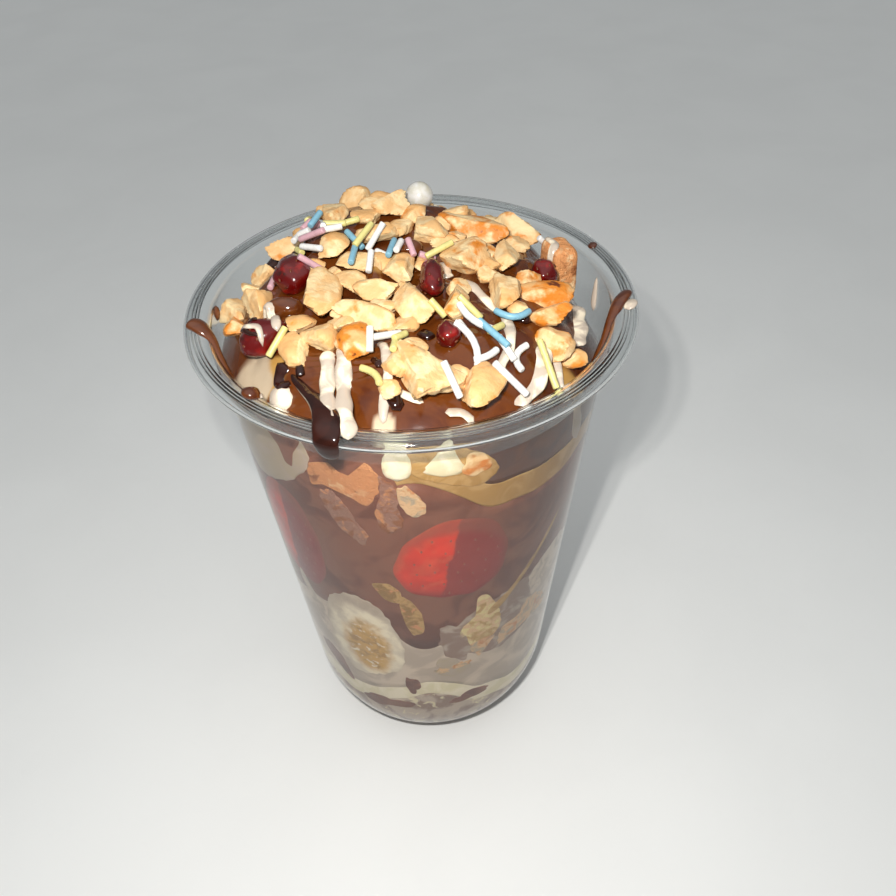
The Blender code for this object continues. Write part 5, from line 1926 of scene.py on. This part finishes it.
class FROYO_OT_lumps(bpy.types.Operator):
    """Set the lumps of chocolate and the white drop in the heap: ellipsoids, slightly uneven"""

    bl_idname = "froyo.lumps"
    bl_label = "Chocolate Lumps"

    def execute(self, context):
        _, colours = settings(context)
        for name, (slot, look, seed, (x, y, length, width)) in LUMPS_ON_TOP.items():
            low, high = node_heights(name)
            directions = sphere_directions(*LUMP_GRID)
            uneven = 1 + LUMP_UNEVENNESS * ripple(directions, LUMP_RIPPLE_SIZE, seed)
            grid = directions * uneven[..., None]
            grid = grid * (length / 2, width / 2, (high - low + TOP_SINK) / 2)
            grid = grid + (x, y, (low + high - TOP_SINK) / 2)
            make_piece(name + "_sauce", [grid], sauce(colours, look), (name,))
        return {"FINISHED"}


class FROYO_OT_waffle_block(bpy.types.Operator):
    """Stand the block of waffle in the heap"""

    bl_idname = "froyo.waffle_block"
    bl_label = "Waffle Block"

    def execute(self, context):
        _, colours = settings(context)
        block = WAFFLE_BLOCK
        low, high = node_heights("waffle_block")
        half = block["length"] / 2, block["width"] / 2, (high - low) / 2
        grid = turn_about_z(softened_block(WAFFLE_SEED, WAFFLE_SQUARENESS) * half, block["turn"])
        grid = grid + (block["x"], block["y"], (low + high) / 2)
        make_piece("waffle_block_bake", [grid], baked(colours, "waffle_crust"), ("waffle_block",))
        return {"FINISHED"}


class FROYO_OT_drizzle(bpy.types.Operator):
    """Lay the strands of white and dark sauce over the heap"""

    bl_idname = "froyo.drizzle"
    bl_label = "Drizzle"

    def execute(self, context):
        _, colours = settings(context)
        laid = Laid(UNDER_DRIZZLE)
        for name, strands, look, slot in (
            ("white_strands", WHITE_STRANDS, "white_drizzle", "white_chocolate"),
            ("dark_strands", DARK_STRANDS, "dark_sauce", "dark_chocolate"),
        ):
            grids = [laid_strand(laid, *strand, seed=n) for n, strand in enumerate(strands)]
            make_piece(name, grids, sauce(colours, look))
        return {"FINISHED"}


class FROYO_OT_rim_sauce(bpy.types.Operator):
    """Lay the runs and drops of sauce on the rim, and the dark drip over it"""

    bl_idname = "froyo.rim_sauce"
    bl_label = "Sauce on the Rim"

    def execute(self, context):
        _, colours = settings(context)
        for name, runs, look, slot in (
            ("rim_runs", RIM_RUNS, "rim_sauce", "milk_chocolate"),
            ("white_rim_runs", WHITE_RIM_RUNS, "white_drizzle", "white_chocolate"),
        ):
            make_piece(name, [rim_strand(rows) for rows in runs.values()], sauce(colours, look))
        dark = sauce(colours, "dark_sauce")
        make_piece("dark_drip_sauce", [self.dark_drip()], dark, ("dark_drip",))
        return {"FINISHED"}

    def dark_drip(self):
        """The dark run from the heap over the rim, carried along a smooth curve through its stations."""
        front = math.radians(DRIP_AZIMUTH)
        out = np.array([math.sin(front), -math.cos(front), 0])
        aside = np.array([math.cos(front), math.sin(front), 0])
        rows = spline([(r, z, shift, w, t) for shift, r, z, w, t in DARK_DRIP], DRIP_STEP)
        path = out * rows[:, :1] + aside * rows[:, 2:3] + np.array([0, 0, 1]) * rows[:, 1:2]
        side = np.broadcast_to(-aside, path.shape)
        ends = round_ends(len(rows), DRIP_ENDS)
        return carried(path, side, rows[:, 3] * ends, rows[:, 4] * ends, DRIP_COLUMNS, DRIP_BASE)


class FROYO_OT_nuts(bpy.types.Operator):
    """Heap the chopped nuts: those that are nodes at their own places, and smaller bits between them"""

    bl_idname = "froyo.nuts"
    bl_label = "Chopped Nuts"

    def execute(self, context):
        _, colours = settings(context)
        laid = Laid(UNDER_NUTS)
        chunks = []
        for number, (x, y, length, width, turn, roast) in enumerate(NUTS, start=1):
            low, high = node_heights(f"nut_{number:02d}")
            half = NUT_SPREAD * length / 2, NUT_SPREAD * width / 2, (high - low + NUT_SINK) / 2
            place = x, y, (low + high - NUT_SINK) / 2
            chunks.append((*chopped(NUT_SEED + number), half, turn, place, roast))
        for number, (x, y, length, width, height, turn, roast) in enumerate(NUT_BITS):
            half = BIT_SPREAD * length / 2, BIT_SPREAD * width / 2, height / 2
            place = x, y, min(laid.height(x, y) + height * BIT_LIFT, HIGHEST - height / 2)
            chunks.append((*chopped(BIT_SEED + number, *BIT_GRID), half, turn, place, roast))
        grids = [turn_about_z(grid * half, turn) + place for grid, _, half, turn, place, _ in chunks]
        marks = {
            "rounded": [ball for _, ball, *_ in chunks],
            "roast": [np.full(ball.shape, roast) for _, ball, _, _, _, roast in chunks],
        }
        nodes = [f"nut_{number:02d}" for number in range(1, len(NUTS) + 1)]
        make_piece("chopped_nuts", grids, nut_finish(colours), nodes, NUT_EDGE, marks=marks)
        return {"FINISHED"}


class FROYO_OT_pearl(bpy.types.Operator):
    """Set the sugar pearl on the heap"""

    bl_idname = "froyo.pearl"
    bl_label = "Sugar Pearl"

    def execute(self, context):
        _, colours = settings(context)
        low, high = node_heights("sugar_pearl")
        grid = sphere_directions(*PEARL_GRID) * PEARL["radius"] + (PEARL["x"], PEARL["y"], (low + high) / 2)
        finish = Finish("pearl_sugar", colours.pearl, Roughness=0.18, Coat_Weight=0.7, Coat_Roughness=0.05)
        finish.cover(colours.sugar_white, finish.patches(2.5, 0.5, 0.2))
        finish.relief(1.5, 0.5, 0.2, 0.03)
        make_piece("sugar_pearl_ball", [grid], finish.done(), ("sugar_pearl",))
        return {"FINISHED"}


class FROYO_OT_sprinkles(bpy.types.Operator):
    """Scatter the sprinkles: short rods with round ends, some bent, lying across what is under them"""

    bl_idname = "froyo.sprinkles"
    bl_label = "Sprinkles"

    def execute(self, context):
        sizes, colours = settings(context)
        laid = Laid(UNDER_SPRINKLES)
        for colour, rows in SPRINKLES.items():
            grids = [self.rod(laid, sizes.sprinkle_radius / MM, *row) for row in rows]
            material = sugar("sprinkle_" + colour, getattr(colours, "sugar_" + colour))
            make_piece("sprinkles_" + colour, grids, material)
        return {"FINISHED"}

    def rod(self, laid, radius, x, y, heading, length, bend, lift):
        share, fullness = (np.array(column) for column in zip(*SPRINKLE_ENDS))
        share = np.concatenate([-share, SPRINKLE_MIDDLE, share[::-1]])
        fullness = np.concatenate([fullness, np.ones(len(SPRINKLE_MIDDLE)), fullness[::-1]])
        angle = math.radians(heading)
        ahead = np.array([math.cos(angle), math.sin(angle)])
        path = np.array([x, y]) + ahead * (share * (length - radius))[:, None]
        path += np.array([-ahead[1], ahead[0]]) * (bend * length * (4 * share**2 - 0.5))[:, None]
        under = np.array([laid.height(*point) for point in path])
        start, end = under[:2].max(), under[-2:].max()
        line = start + (end - start) * (share + 0.5)
        line += max(0.0, (under - line).max()) + radius * SPRINKLE_CLEARANCE + lift
        line -= max(0.0, line.max() + radius - HIGHEST)
        path = np.column_stack([path, line])
        side = np.broadcast_to(np.array([-ahead[1], ahead[0], 0]), path.shape)
        return carried(path, side, radius * fullness, radius * fullness, SPRINKLE_COLUMNS, 1.0)


class FROYO_PT_panel(bpy.types.Panel):
    """Sizes, colours and the steps that dress the cup"""

    bl_idname = "FROYO_PT_panel"
    bl_label = "Frozen Yogurt Cup"
    bl_space_type = "VIEW_3D"
    bl_region_type = "UI"
    bl_category = "Froyo"

    def draw(self, context):
        for operator in OPERATORS:
            self.layout.operator(operator.bl_idname)
        for group in settings(context):
            column = self.layout.column(align=True)
            for name in group.bl_rna.properties.keys():
                if name not in ("rna_type", "name"):
                    column.prop(group, name)


OPERATORS = (
    FROYO_OT_stage,
    FROYO_OT_cup,
    FROYO_OT_layers,
    FROYO_OT_heap,
    FROYO_OT_wall_fruit,
    FROYO_OT_wall_bakes,
    FROYO_OT_wall_sauce,
    FROYO_OT_top_fruit,
    FROYO_OT_lumps,
    FROYO_OT_waffle_block,
    FROYO_OT_drizzle,
    FROYO_OT_rim_sauce,
    FROYO_OT_nuts,
    FROYO_OT_pearl,
    FROYO_OT_sprinkles,
)
CLASSES = (FroyoSizes, FroyoColours, *OPERATORS, FROYO_PT_panel)


def register():
    for made in CLASSES:
        bpy.utils.register_class(made)
    bpy.types.Scene.froyo_sizes = bpy.props.PointerProperty(type=FroyoSizes)
    bpy.types.Scene.froyo_colours = bpy.props.PointerProperty(type=FroyoColours)


def unregister():
    del bpy.types.Scene.froyo_colours
    del bpy.types.Scene.froyo_sizes
    for made in reversed(CLASSES):
        bpy.utils.unregister_class(made)


def main():
    register()
    for operator in OPERATORS:
        group, name = operator.bl_idname.split(".")
        getattr(getattr(bpy.ops, group), name)()


if __name__ == "__main__":
    main()
